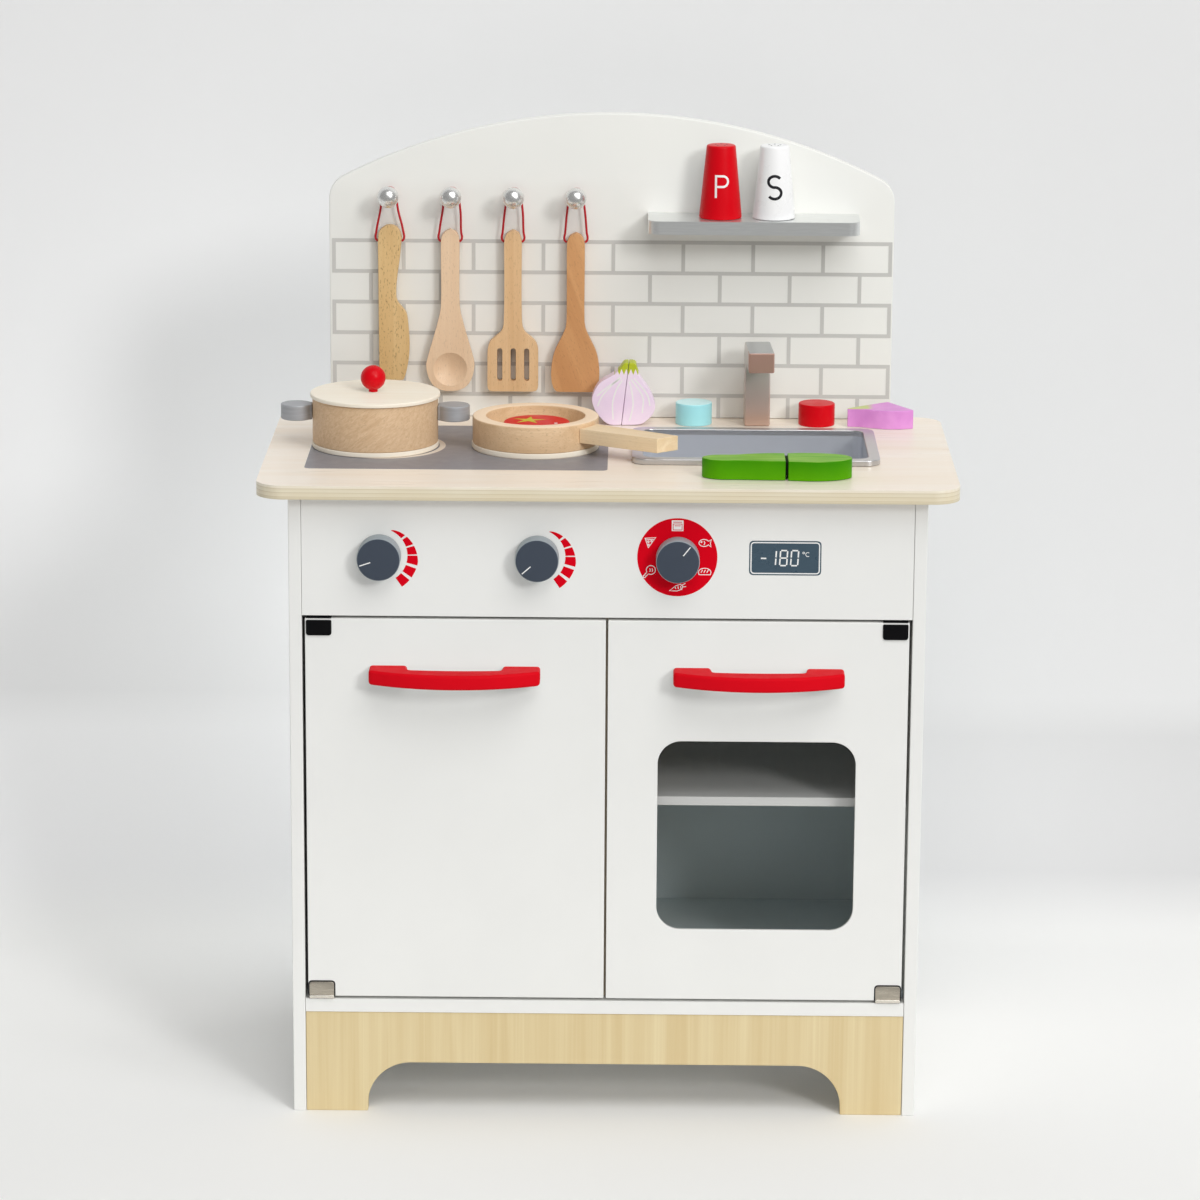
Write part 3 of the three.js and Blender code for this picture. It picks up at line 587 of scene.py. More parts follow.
def ring_profile(outer, inner, low, high, edge):
    """A closed lathe profile of a flat ring with rounded rims."""
    corners = [(inner, low), (outer, low), (outer, high), (inner, high)]
    return rounded(corners, edge, 3)


def disc_profile(radius, low, high, edge_low, edge_high):
    """A lathe profile of a solid disc from axis to axis."""
    corners = [(0, low), (radius, low), (radius, high), (0, high)]
    return rounded(corners, [0, edge_low, edge_high, 0], 5, closed=False)


def rectangle(left, right, low, high, corner, steps=6):
    return rounded([(left, low), (right, low), (right, high), (left, high)], corner, steps)


def smooth_line(line, most=1.5):
    """Adds points to long strokes, so that they bend with a round surface."""
    made = [Vector(line[0])]
    for point in line[1:]:
        gap = Vector(point) - made[-1]
        count = max(1, math.ceil(gap.length / most))
        start = made[-1].copy()
        made += [start + gap * k / count for k in range(1, count + 1)]
    return [(p.x, p.y) for p in made]


def catmull(points, steps=6):
    """A smooth line through a few points."""
    points = [Vector(p) for p in points]
    padded = [2 * points[0] - points[1], *points, 2 * points[-1] - points[-2]]
    made = []
    for a, b, c, d in zip(padded, padded[1:], padded[2:], padded[3:]):
        for k in range(steps):
            t = k / steps
            made.append(0.5 * (2 * b + (c - a) * t + (2 * a - 5 * b + 4 * c - d) * t * t
                               + (3 * b - a - 3 * c + d) * t ** 3))
    return [(p.x, p.y) for p in [*made, points[-1]]]


def screw(name, x, z, y, body, radius=3.0):
    """A pan-head screw seen from behind, with a cross cut in its head. The cross is a flat black mark,
    painted shade for the recess.
    """
    profile = [(0, 0), (radius, 0), (radius, -0.5), (radius * 0.82, -1.2), (radius * 0.45, -1.5), (0, -1.55)]
    lathe(name, profile, (x, y, z), STEEL, body, axis="Y", steps=32)
    size = radius * 0.5
    lines = [[(x - size, z), (x + size, z)], [(x, z - size), (x, z + size)]]
    ribbons(name + "_cross", lines, radius * 0.22, 0.06, behind(y + 1.5), STEEL_SLOT_PAINTED_SHADE, body)


def soften(node, finish, edge, steps=3, angle=35):
    """A CAD node keeps its shape; modifiers join its facets and round its edges a little."""
    material, slot = finish
    shown = frame["nodes"][node]
    mesh = shown.data
    if "custom_normal" in mesh.attributes:
        mesh.attributes.remove(mesh.attributes["custom_normal"])
    for polygon in mesh.polygons:
        polygon.use_smooth = True
    mesh.materials.clear()
    mesh.materials.append(material)
    weld = shown.modifiers.new("weld", "WELD")
    weld.merge_threshold = 0.002 * MM
    flatten = shown.modifiers.new("flatten", "DECIMATE")
    flatten.decimate_type = "DISSOLVE"
    flatten.angle_limit = math.radians(0.3)
    rim = shown.modifiers.new("rim", "BEVEL")
    rim.width = edge * MM
    rim.segments = steps
    rim.limit_method = "ANGLE"
    rim.angle_limit = math.radians(angle)
    rim.miter_outer = "MITER_ARC"
    shade = shown.modifiers.new("shade", "WEIGHTED_NORMAL")
    shade.keep_sharp = True
    shade.weight = 80


# ---- cords ----
# A utensil's name, its handle's middle and half width at the cross hole, and its cord's length in metres.
UTENSILS = [
    ("knife", -199.6, 10.5, 0.1046),
    ("spoon", -145.2, 8.2, 0.1032),
    ("turner", -88.6, 7.8, 0.1031),
    ("spatula", -32.0, 8.1, 0.1032),
]
LOOP_Z, LOOP_RADIUS, LOOP_AWAY = 729.5, 1.0, 2.2
PEG_RADIUS, GAP = 4.5, 0.3


def loop_route(x, half_width, peg):
    """Out of one end of the cross hole, up over the peg and back to the other end."""
    over = PEG_RADIUS + GAP + LOOP_RADIUS
    strand = [(half_width + GAP, LOOP_Z), (half_width + LOOP_AWAY, LOOP_Z + 2.5),
              (half_width + LOOP_AWAY - 0.6, LOOP_Z + 9)]
    rise = [(over + 2.2, peg.z - 15), (over, peg.z - 1), (over * 0.72, peg.z + over * 0.7)]
    left = [(x - u, z) for u, z in strand] + [(peg.x - u, z) for u, z in rise]
    right = [(peg.x + u, z) for u, z in reversed(rise)] + [(x + u, z) for u, z in reversed(strand)]
    return left + [(peg.x, peg.z + over)] + right


def hang_cords():
    for i, (name, x, half_width, length) in enumerate(UTENSILS):
        low, high = span(f"{name}_loop")
        ball_low, ball_high = span(f"hook_{i + 1}")
        peg = (ball_low + ball_high) / 2
        depth = (low.y + high.y) / 2
        route = loop_route(x, half_width, peg)
        curve = bpy.data.curves.new(f"{name}_cord", "CURVE")
        curve.dimensions = "3D"
        curve.bevel_depth = LOOP_RADIUS * MM
        curve.bevel_resolution = 4
        curve.resolution_u = 8
        curve.use_fill_caps = True
        line = curve.splines.new("BEZIER")
        line.bezier_points.add(len(route) - 1)
        for point, (u, z) in zip(line.bezier_points, route):
            point.co = Vector((u, depth, z)) * MM
            point.handle_left_type = point.handle_right_type = "AUTO"
        curve.materials.append(CORD[0])
        cord = bpy.data.objects.new(f"{name}_cord", curve)
        bpy.context.scene.collection.objects.link(cord)
        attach(cord, name)
        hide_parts(f"{name}_loop")


hang_cords()


# Where each knob's pointer looks, in degrees anticlockwise from +X.
KNOB_POINTERS = {"hob_knob_left": 198.6, "hob_knob_right": 221.5, "oven_knob": 51.6}


# ---- CAD nodes kept, with softened edges ----
def soften_boards():
    rows = [
        ("side_panel_left", WHITE, 0.8), ("side_panel_right", WHITE, 0.8),
        ("bottom_panel", WHITE, 0.5), ("oven_shelf", WHITE, 0.6),
        ("control_panel", WHITE, 0.4),
        ("cupboard_door", WHITE, 0.9), ("oven_door", WHITE, 0.9),
        ("plinth", PLINTH_WOOD, 0.8), ("divider_panel", EDGE_PLY, 0.4),
        ("catch_block", MAPLE, 0.5), ("back_panel", CAVITY, 0.3),
        ("worktop", PLY, 1.8), ("upper_shelf", SHELF_SILVER, 2.2),
        ("oven_window", CLEAR, 0.3),
    ]
    for row in rows:
        soften(*row)


def soften_fittings_and_food():
    rows = [
        ("sink_basin", SINK_SILVER, 1.6), ("tap_spout", TAP_PAINTED_REFLECTION, 2.2),
        ("cupboard_handle", HANDLE_RED, 2.6), ("oven_handle", HANDLE_RED, 2.6),
        ("pan_handle", HANDLE_MAPLE, 1.1),
        ("pot_handle_left", DULL_SILVER, 1.2),
        ("pot_handle_right", DULL_SILVER, 1.2),
        ("knife", YELLOW_BEECH, 1.3), ("spoon", PALE_BEECH, 1.0),
        ("turner", TURNER_BEECH, 0.9), ("spatula", ORANGE_BEECH, 1.3),
        ("onion_left", ONION, 0.7), ("onion_right", ONION, 0.7),
        ("cucumber_long", CUCUMBER, 0.7), ("cucumber_short", CUCUMBER, 0.7),
        ("aubergine", AUBERGINE, 0.7),
    ]
    rows += [(f"{knob}_spindle", STEEL, 0.3) for knob in KNOB_POINTERS]
    for row in rows:
        soften(*row)


# ---- splashback, hob and oven ----
def splashback():
    """The arched board in one piece. The hook pegs run into it.

    The top is an arc with this half chord and rise, and a fillet at each end.
    """
    low, high = span("splashback")
    half_chord, rise, fillet = 204.6, 41, 22
    radius = (half_chord ** 2 + rise ** 2) / (2 * rise)
    centre = high.z - radius
    fillet_x = high.x - fillet
    fillet_z = centre + math.sqrt((radius - fillet) ** 2 - fillet_x ** 2)
    turn = math.degrees(math.atan2(fillet_z - centre, fillet_x))
    outline = [(low.x, low.z), (high.x, low.z), *arc(fillet_x, fillet_z, fillet, 0, turn, 10),
               *arc(0, centre, radius, turn, 180 - turn, 48),
               *arc(-fillet_x, fillet_z, fillet, 180 - turn, 180, 10)]
    slab("splashback_board", outline, high.y - low.y, front(high.y), SPLASH_WHITE, "cabinet",
         "splashback", edge=1.0)


PRINT_THICK = 0.12
BRICK = {"line": 3.4, "top": 728.9, "course": 28.1, "courses": 6, "long": 63.1, "first": -250.6,
         "second": -217.3, "right": 251.7, "thick": 0.2}


def brick_print():
    """Grey joint lines over the lower half of the splashback, in a running bond."""
    low = span("splashback")[0]
    half = BRICK["line"] / 2
    left, right = BRICK["first"] - half, BRICK["right"] + half
    lines = []
    for row in range(BRICK["courses"]):
        z = BRICK["top"] - row * BRICK["course"]
        lines.append([(left, z), (right, z)])
        below = max(z - BRICK["course"] + half, low.z + 0.1)
        outer = row % 2 == 0
        start = BRICK["first"] if outer else BRICK["second"]
        joints = [start + k * BRICK["long"] for k in range(8)] + ([BRICK["right"]] if outer else [])
        lines += [[(x, z - half), (x, below)] for x in joints]
    ribbons("brick_print", lines, BRICK["line"], BRICK["thick"], front(low.y), PRINT_GREY,
            "cabinet")


def hob():
    """The printed hob plate and a pale ring for each burner."""
    top = span("worktop")[1].z
    outline = rectangle(-262.7, -0.9, -75, 110, 6)
    slab("hob_plate", outline, 0.16, flat(top), HOB_GREY, "cabinet")
    for name, x in (("left", -200), ("right", -65)):
        profile = ring_profile(55.6, 50.5, 0.16, 0.24, 0.02)
        lathe(f"burner_ring_{name}", profile, (x, 22, top), RING_PALE, "cabinet")


def oven_inside():
    """The floor board and the screws that hold the window pane."""
    floor = span("bottom_panel")[1].z
    shelf_low, shelf_high = span("oven_shelf")
    deep = span("back_panel")[0].y - GAP
    outline = rectangle(shelf_low.x, shelf_high.x, -112, deep, 1, 2)
    slab("oven_floor_board", outline, 6.5, flat(floor + GAP), CAVITY, "cabinet", edge=0.5)
    low, high = span("oven_window")
    inset = 4.5
    corners = [(x, z) for x in (low.x + inset, high.x - inset) for z in (low.z + inset, high.z - inset)]
    for i, (x, z) in enumerate(corners):
        screw(f"window_screw_{i + 1}", x, z, high.y, "oven_door")


# ---- hooks, taps and sink ----
def hooks():
    """A ball turned in one piece with its peg."""
    for i in range(4):
        low, high = span(f"hook_{i + 1}")
        radius = (high.x - low.x) / 2
        centre = ((low.x + high.x) / 2, low.y + radius, (low.z + high.z) / 2)
        join = math.degrees(math.asin(PEG_RADIUS / radius))
        ball = arc(0, 0, radius, 90, -90 + join, 22)
        peg = [(PEG_RADIUS, low.y + radius - high.y), (0, low.y + radius - high.y)]
        profile = [(max(u, 0), v) for u, v in ball] + peg
        lathe(f"hook_{i + 1}_turned", profile, centre, SILVER, "cabinet", f"hook_{i + 1}",
              axis="Y", steps=64)


def tap_knobs():
    """Each knob stands on the worktop, with a peg below it."""
    for name, finish in (("cold", PALE_BLUE), ("hot", RED)):
        low, high = span(f"{name}_tap_knob")
        centre = ((low.x + high.x) / 2, (low.y + high.y) / 2, 0)
        foot = span("worktop")[1].z + GAP
        radius, peg = (high.x - low.x) / 2, 5
        corners = [(0, low.z), (peg, low.z), (peg, foot), (radius, foot), (radius, high.z), (0, high.z)]
        profile = rounded(corners, [0, 0.6, 0, 0.6, 1.4, 0], 5, closed=False)
        lathe(f"{name}_tap_turned", profile, centre, finish, f"{name}_tap", f"{name}_tap_knob")


def sink_drain():
    """A ring and a plate with two circles of holes, drawn as flat black discs of painted shade."""
    low, high = span("sink_basin")
    floor = low.z + 1.5
    centre = ((low.x + high.x) / 2, (low.y + high.y) / 2, floor)
    lathe("sink_drain_ring", ring_profile(20, 15.5, 0, 1.2, 0.5), centre, STEEL, "cabinet")
    lathe("sink_drain_plate", disc_profile(15.2, 0, 0.5, 0, 0.2), centre, STEEL, "cabinet")
    for ring, count in ((5, 6), (10.5, 12)):
        for k in range(count):
            a = 2 * math.pi * k / count
            spot = (centre[0] + ring * math.cos(a), centre[1] + ring * math.sin(a), floor + 0.5)
            hole = disc_profile(1.1, 0, 0.06, 0, 0)
            lathe(f"drain_hole_{count}_{k + 1}", hole, spot, STEEL_SLOT_PAINTED_SHADE, "cabinet", steps=16)


# ---- control panel ----
# Where each segment of a heat scale starts and ends, in degrees clockwise from the top.
SCALE = [(25, 51), (55, 71), (74, 88), (90, 105), (110, 125), (130, 145)]


def knob_paint():
    """Slate on the face, and a paler grey on the side wall, painted in as a highlight for the light and
    reflection it catches.
    """
    recipe = Recipe("knob_paint", "slate_paint", (68, 76, 88), 0.45, IOR=1.3)
    face = recipe.spread(recipe.math("ABSOLUTE", recipe.facing()[1]), 0.75, 0.92, 0, 1)
    # The side wall's paler grey is a painted highlight. The knob is slate all over.
    tint = recipe.mix(face, linear((150, 160, 166)), linear((66, 74, 86)))
    return recipe.connect(tint, None, recipe.noise(recipe.place, 700, 2), 0.012)


def control_knobs():
    """Each knob is hollow for its spindle, and has a white pointer on its face."""
    paint = knob_paint()
    for name, turn in KNOB_POINTERS.items():
        low, high = span(name)
        radius = (high.x - low.x) / 2
        depth = high.y - low.y
        x, z = (low.x + high.x) / 2, (low.z + high.z) / 2
        bore, bore_deep = 3.4, depth * 0.7
        corners = [(0, bore_deep), (bore, bore_deep), (bore, 0), (radius, 0), (radius, depth), (0, depth)]
        profile = rounded(corners, [0, 0, 0.3, 0.5, 1.5, 0], 6, closed=False)
        lathe(f"{name}_turned", profile, (x, high.y, z), paint, name, name, axis="Y")
        a = math.radians(turn)
        line = [(x + r * math.cos(a), z + r * math.sin(a)) for r in (7.2, radius - 1.6)]
        ribbons(f"{name}_pointer", [line], 0.9, 0.12, front(low.y), PRINT_WHITE, name)


def heat_scales():
    """Six red segments that grow clockwise round each hob knob, up to 9 mm wide after 75 degrees."""
    panel = span("control_panel")[0].y
    inside = 24
    for name in ("hob_knob_left", "hob_knob_right"):
        centre = middle(name)
        for i, (start, end) in enumerate(SCALE):
            inner, outer = [], []
            for k in range(9):
                turn = start + (end - start) * k / 8
                a = math.radians(90 - turn)
                reach = inside + 0.5 + 9 * min((turn - SCALE[0][0]) / 75, 1.0) ** 0.8
                inner.append((centre.x + inside * math.cos(a), centre.z + inside * math.sin(a)))
                outer.append((centre.x + reach * math.cos(a), centre.z + reach * math.sin(a)))
            slab(f"{name}_heat_{i + 1}", inner + outer[::-1], PRINT_THICK, front(panel), PRINT_RED,
                 "cabinet")


def food_icons():
    """Simple outlines of food about their own middles, with their angles clockwise from the dial's top."""
    fish = [[*arc(-0.8, 0.3, 4.3, 30, 330, 18, 0.72), (5.2, -3.2), (4.6, 0.3), (5.4, 3.2), (2.9, 1.8)],
            arc(-3, 1.1, 0.5, 0, 360, 8), arc(-2.4, 0.2, 2.2, -50, 50, 6)]
    bread = [[*arc(0, -0.6, 5.4, 0, 180, 16, 0.68), (-4.8, -2.6), (4.8, -2.6), (5.4, -0.6)],
             *[[(x - 0.7, -0.9), (x + 0.7, 1.7)] for x in (-2.5, 0, 2.5)]]
    carrot = [[(-6.4, -2.8), (-1, 1.6), (3, 3), (4.9, 1.2), (4.2, -1.4), (0, -3), (-6.4, -2.8)],
              [(4.4, 2.2), (7.2, 3.8)], [(4.9, 0.6), (7.8, 1)],
              *[[(x, 1.3), (x + 0.5, -1.2)] for x in (-1.6, 0.8, 3)]]
    drumstick = [arc(1, 1.2, 3.9, -120, 210, 20), [(-1, -2.2), (-3.3, -4.6)], [(-2.6, -1), (-4.8, -3.4)],
                 arc(-4.5, -4.5, 1.1, 60, 390, 10),
                 [(0, -0.4), (0.6, 1), (0, 2.6)], [(2, -0.4), (2.6, 1), (2, 2.6)]]
    pizza = [[(-4.6, 3.2), (4.4, 3.8), (-1.8, -5), (-4.6, 3.2)], [(-4.1, 1.8), (3.5, 2.3)],
             arc(-1.8, 0.2, 0.7, 0, 360, 8), arc(0.9, 0.6, 0.7, 0, 360, 8), arc(-1.6, -2.4, 0.6, 0, 360, 8)]
    return {"fish": (fish, 62), "bread": (bread, 118), "carrot": (carrot, 180), "drumstick": (drumstick, 242),
            "pizza": (pizza, 300)}


def oven_dial():
    """A red disc round the oven knob, with five food icons and a small oven at the top."""
    panel = span("control_panel")[0].y
    face = panel - PRINT_THICK
    x, z, radius, reach = 59.6, 503.7, 34.25, 26.6
    ring = arc(x, z, radius, 0, 360, 96)[:-1]
    slab("oven_dial_disc", ring, PRINT_THICK, front(panel), PRINT_RED, "cabinet")
    for name, (lines, turn) in food_icons().items():
        a = math.radians(90 - turn)
        moved = [[(x + reach * math.cos(a) + u, z + reach * math.sin(a) + v) for u, v in line]
                 for line in lines]
        ribbons(f"dial_{name}", moved, 0.65, 0.06, front(face), PRINT_WHITE, "cabinet")
    top = z + 27.6
    square = rectangle(x - 5, x + 5, top - 4.6, top + 4.8, 0.3, 2)
    slab("dial_oven", square, 0.06, front(face), PRINT_WHITE, "cabinet")
    left, right = x - 3.8, x + 3.8
    door = [(left, top - 3.6), (right, top - 3.6), (right, top + 1.6), (left, top + 1.6), (left, top - 3.6)]
    lines = [door, [(left, top + 3.2), (right, top + 3.2)], [(x - 2.6, top), (x + 2.6, top)]]
    ribbons("dial_oven_lines", lines, 0.6, 0.05, front(face - 0.06), PRINT_RED, "cabinet")


# The strokes that a seven-segment digit lights, from a at the top, clockwise to f, and g in the middle.
SEVEN = {"1": "bc", "8": "abcdefg", "0": "abcdef"}


def digit(x, z, text, wide=6, tall=13.2):
    """The strokes of a seven-segment digit, leaning slightly."""
    lean = 0.06
    ends = {"a": ((0, 2), (1, 2)), "b": ((1, 2), (1, 1)), "c": ((1, 1), (1, 0)), "d": ((0, 0), (1, 0)),
            "e": ((0, 0), (0, 1)), "f": ((0, 1), (0, 2)), "g": ((0, 1), (1, 1))}
    lines = []
    for key in SEVEN[text]:
        first, last = [Vector((u * wide, v * tall / 2)) for u, v in ends[key]]
        trim = (last - first).normalized() * 0.55
        lines.append([(x + p.x + p.y * lean, z + p.y) for p in (first + trim, last - trim)])
    return lines


def display():
    """A small screen with a pale border, a temperature in plain digits and a degree sign."""
    panel = span("control_panel")[0].y
    left, right, low, high = 121, 182.6, 488.6, 518.8
    outline = rectangle(left, right, low, high, 4)
    slab("display_screen", outline, PRINT_THICK, front(panel), PRINT_SCREEN, "cabinet")
    border = rectangle(left + 1.6, right - 1.6, low + 1.6, high - 1.6, 3)
    closed = [*border, border[0]]
    face = front(panel - PRINT_THICK)
    ribbons("display_border", [closed], 1.0, 0.05, face, PRINT_WHITE, "cabinet")
    base = low + 8.6
    lines = [[(left + 10, base + 6.2), (left + 14.6, base + 6.2)]]
    for x, text in ((left + 16.4, "1"), (left + 26, "8"), (left + 35.4, "0")):
        lines += digit(x, base, text)
    ribbons("display_digits", lines, 1.2, 0.05, face, PRINT_WHITE, "cabinet")
    degrees = [arc(left + 46.4, base + 11.2, 0.8, 0, 360, 10), arc(left + 50, base + 9.8, 1.8, 50, 310, 12)]
    ribbons("display_degrees", degrees, 0.5, 0.05, face, PRINT_WHITE, "cabinet")


# ---- door fittings ----
PIVOT_X, PIVOT_Y = 251.9, -121
CLIP_PLATE = 1.1


def hinge_clips():
    """Folded sheet clips with rounded corners, and the pivot pin standing on each. The top clips are painted
    near-black, a painted dark reflection: they are the same plated steel as the bottom ones.
    """
    for door, side in (("cupboard", -1), ("oven", 1)):
        hinge_clip(f"{door}_door", f"{door}_hinge_top", side, 1, BLACK_STEEL_AND_DARK_REFLECTION)
        hinge_clip(f"{door}_door", f"{door}_hinge_bottom", side, -1, STEEL)


def hinge_clip(door, node, side, up, finish):
    """A clip over the door's edge. side is 1 on the right, and up is 1 at the top edge."""
    low, high = span(node)
    door_low, door_high = span(door)
    if up > 0:
        edge = door_high.z + GAP
        near, far = edge - 1.9, edge - 15.2
        corners, shadow = [2.6, 2.6, 1, 1], 0.2
    else:
        edge = door_low.z - GAP
        near, far = edge - CLIP_PLATE, edge + 13.6
        corners, shadow = [0.5, 0.5, 2.6, 2.6], 1.1
    foot, head = sorted((near, far))
    outline = rounded([(low.x, foot), (high.x, foot), (high.x, head), (low.x, head)], corners)
    # A black outline just round the clip is a painted shadow where the clip meets the door.
    painted_shadow = [(x, min(max(z, door_low.z + 0.3), door_high.z - 0.3)) for x, z in grown(outline, shadow)]
    slab(f"{node}_pocket", painted_shadow, PRINT_THICK, front(door_low.y), BLACK_PRINT_AND_SHADE, door)
    slab(f"{node}_front", outline, CLIP_PLATE, front(low.y + CLIP_PLATE), finish, door, node, edge=0.35)
    slab(f"{node}_back", outline, CLIP_PLATE, front(high.y), finish, door, edge=0.2)
    if up < 0:
        # The lip's paler steel is a painted highlight for the bottom fold reflecting the floor.
        lip = rectangle(low.x, high.x, foot - 0.1, foot + 2.9, 0.9, 4)
        slab(f"{node}_lip", lip, 0.9, front(low.y), STEEL_PAINTED_HIGHLIGHT, door, edge=0.7)
        spot = (side * PIVOT_X, PIVOT_Y, edge - CLIP_PLATE - 1.5)
        lathe(f"{node}_washer", disc_profile(4.2, 0, 1.2, 0.2, 0.2), spot, BLACK_STEEL_AND_DARK_REFLECTION, door, steps=40)
    outside = edge + up * CLIP_PLATE
    bridge = rectangle(low.x, high.x, low.y + CLIP_PLATE, high.y - CLIP_PLATE, 0.2, 2)
    slab(f"{node}_fold", bridge, CLIP_PLATE, flat(min(edge, outside)), finish, door)
    length = abs((high.z if up > 0 else low.z) - outside)
    profile = [(0, 0), (2, 0), (2, up * (length - 0.5)), (1.5, up * length), (0, up * length)]
    lathe(f"{node}_pin", profile, (side * PIVOT_X, PIVOT_Y, outside), STEEL, door, steps=32)
    screw(f"{node}_screw", (low.x + high.x) / 2, (foot + head) / 2, high.y, door, 2.6)


def magnets():
    """Two magnets let into the catch block and a steel strike on each door's back."""
    block_low, block_high = span("catch_block")
    door_back = span("cupboard_door")[1].y
    z = (block_low.z + block_high.z) / 2 - 1
    for name, x in (("cupboard", -13), ("oven", 13)):
        profile = disc_profile(4.5, 0, 0.5, 0, 0.2)
        lathe(f"{name}_magnet", profile, (x, block_low.y, z), STEEL, "cabinet", axis="Y", steps=48)
        strike = [(u, -v) for u, v in disc_profile(5, 0, 0.8, 0, 0.3)]
        lathe(f"{name}_strike", strike, (x, door_back, z), STEEL, f"{name}_door", axis="Y", steps=48)


# ---- shakers ----
SHAKER_TOP = 12.9


def on_cone(shaker):
    """Maps letter points onto the front of a shaker's cone."""
    low, high = span(shaker)
    x, y = (low.x + high.x) / 2, (low.y + high.y) / 2
    foot = (high.x - low.x) / 2

    def place(u, v, w):
        share = (v - low.z) / (high.z - low.z)
        radius = foot + (SHAKER_TOP - foot) * share
        a = u / radius
        return (x + (radius + w) * math.sin(a), y - (radius + w) * math.cos(a), v)
    return place


def shakers():
    """A cone with a letter on its front and five holes in its top, drawn as flat black discs of painted
    shade.
    """
    middle_height = span("pepper_shaker")[0].z + 29.5
    letter_p = [[(-4.6, -9.6), (-4.6, 9.6), *arc(1.6, 4.9, 4.7, 90, -90, 12), (-4.6, 0.2)]]
    letter_s = [[*arc(0, 5, 5.8, 35, 262, 16, 0.86), *arc(0, -5, 6, 82, -145, 18, 0.86)]]
    rows = [("pepper_shaker", RED, letter_p, 1.9, PRINT_WHITE),
            ("salt_shaker", SALT_WHITE, letter_s, 2.5, BLACK_PRINT_AND_SHADE)]
    for node, finish, letter, stroke, ink in rows:
        low, high = span(node)
        foot, tall = (high.x - low.x) / 2, high.z - low.z
        corners = [(0, 0), (foot, 0), (SHAKER_TOP, tall), (0, tall)]
        profile = rounded(corners, [0, 1.2, 2.2, 0], 6, closed=False)
        centre = ((low.x + high.x) / 2, (low.y + high.y) / 2, low.z)
        lathe(f"{node}_turned", profile, centre, finish, node, node)
        lines = [[(u, v + middle_height) for u, v in smooth_line(line)] for line in letter]
        place = on_cone(node)
        ribbons(f"{node}_letter", lines, stroke, 0.1, place, ink, node)
        for k in range(5):
            a = 2 * math.pi * k / 5 + 0.3
            spot = (centre[0] + 5.2 * math.cos(a), centre[1] + 5.2 * math.sin(a), high.z)
            hole = disc_profile(0.9, 0, 0.08, 0, 0)
            lathe(f"{node}_hole_{k + 1}", hole, spot, BLACK_PRINT_AND_SHADE, node, steps=16)


# ---- pot, pan and play food ----
def vessel(body, centre, finish, inner, thick, rim, bowl):
    """A turned wooden pot or pan on its paler base. rim and bowl are the radii of its edges."""
    low, high = span(f"{body}_body")
    outer = (high.x - low.x) / 2
    floor = span("worktop")[1].z + thick
    corners = [(0, low.z), (outer, low.z), (outer, high.z), (inner, high.z), (inner, floor), (0, floor)]
    profile = rounded(corners, [0, 0.5, rim, rim, bowl, 0], 5, closed=False)
    lathe(f"{body}_body_turned", profile, centre, finish, body, f"{body}_body", steps=128)
    low, high = span(f"{body}_base")
    profile = disc_profile((high.x - low.x) / 2, low.z, high.z, 1.2, 0.6)
    lathe(f"{body}_base_turned", profile, centre, MAPLE, body, f"{body}_base", steps=128)


def pot():
    centre = (-206.4, 22.6, 0)
    vessel("pot", centre, POT_BEECH, 46.3, 9, 1.2, 2)
    low, high = span("pot_lid")
    radius, plug, under = (high.x - low.x) / 2, 45.6, low.z + 3
    corners = [(0, low.z), (plug, low.z), (plug, under), (radius, under), (radius, high.z), (0, high.z)]
    profile = rounded(corners, [0, 0.5, 0, 0.8, 1.3, 0], 5, closed=False)
    lathe("pot_lid_turned", profile, centre, MAPLE, "pot_lid", "pot_lid", steps=128)
    low, high = span("pot_lid_knob")
    radius, neck = (high.x - low.x) / 2, 4
    ball_z = high.z - radius
    start = math.degrees(math.acos(neck / radius))
    ball = [(max(u, 0), ball_z + v) for u, v in arc(0, 0, radius, -start, 90, 22)]
    centre = ((low.x + high.x) / 2, centre[1], 0)
    lathe("pot_lid_ball", [(0, low.z), (neck, low.z), *ball], centre, RED, "pot_lid", "pot_lid_knob")


def pan():
    vessel("pan", (-65, 22.3, 0), PAN_BEECH, 43.3, 8, 1.6, 1.5)


def tomato():
    """Half a tomato, with a printed calyx and a small highlight on its flat top."""
    low, high = span("tomato")
    x, y = (low.x + high.x) / 2, (low.y + high.y) / 2
    profile = disc_profile((high.x - low.x) / 2, low.z, high.z, 0.8, 1.6)
    lathe("tomato_turned", profile, (x, y, 0), RED, "tomato", "tomato")
    star = []
    for k in range(10):
        a = math.radians(36 * k + 12)
        reach = 15 if k % 2 == 0 else 4.6
        star.append((x - 7 + reach * math.cos(a), y + 5 + reach * math.sin(a)))
    slab("tomato_calyx", star, 0.12, flat(high.z), CALYX_PRINT, "tomato")
    spot = arc(x + 17, y - 8, 1.6, 0, 360, 16)[:-1]
    slab("tomato_highlight", spot, 0.12, flat(high.z), PRINT_WHITE, "tomato")


def cut_patches():
    """Hook-and-loop patches on the two cut faces of the cucumber."""
    left_low, left_high = span("cucumber_long")
    right_low = span("cucumber_short")[0]
    patch = rectangle(left_low.y + 5, left_high.y - 3, left_low.z + 1.2, left_high.z - 1, 3)
    thick = (right_low.x - left_high.x - GAP) / 2
    slab("cucumber_patch_long", patch, thick, lambda u, v, w: (left_high.x + w, u, v), CUT_PATCH,
         "cucumber_long")
    slab("cucumber_patch_short", patch, thick, lambda u, v, w: (right_low.x - w, u, v), CUT_PATCH,
         "cucumber_short")


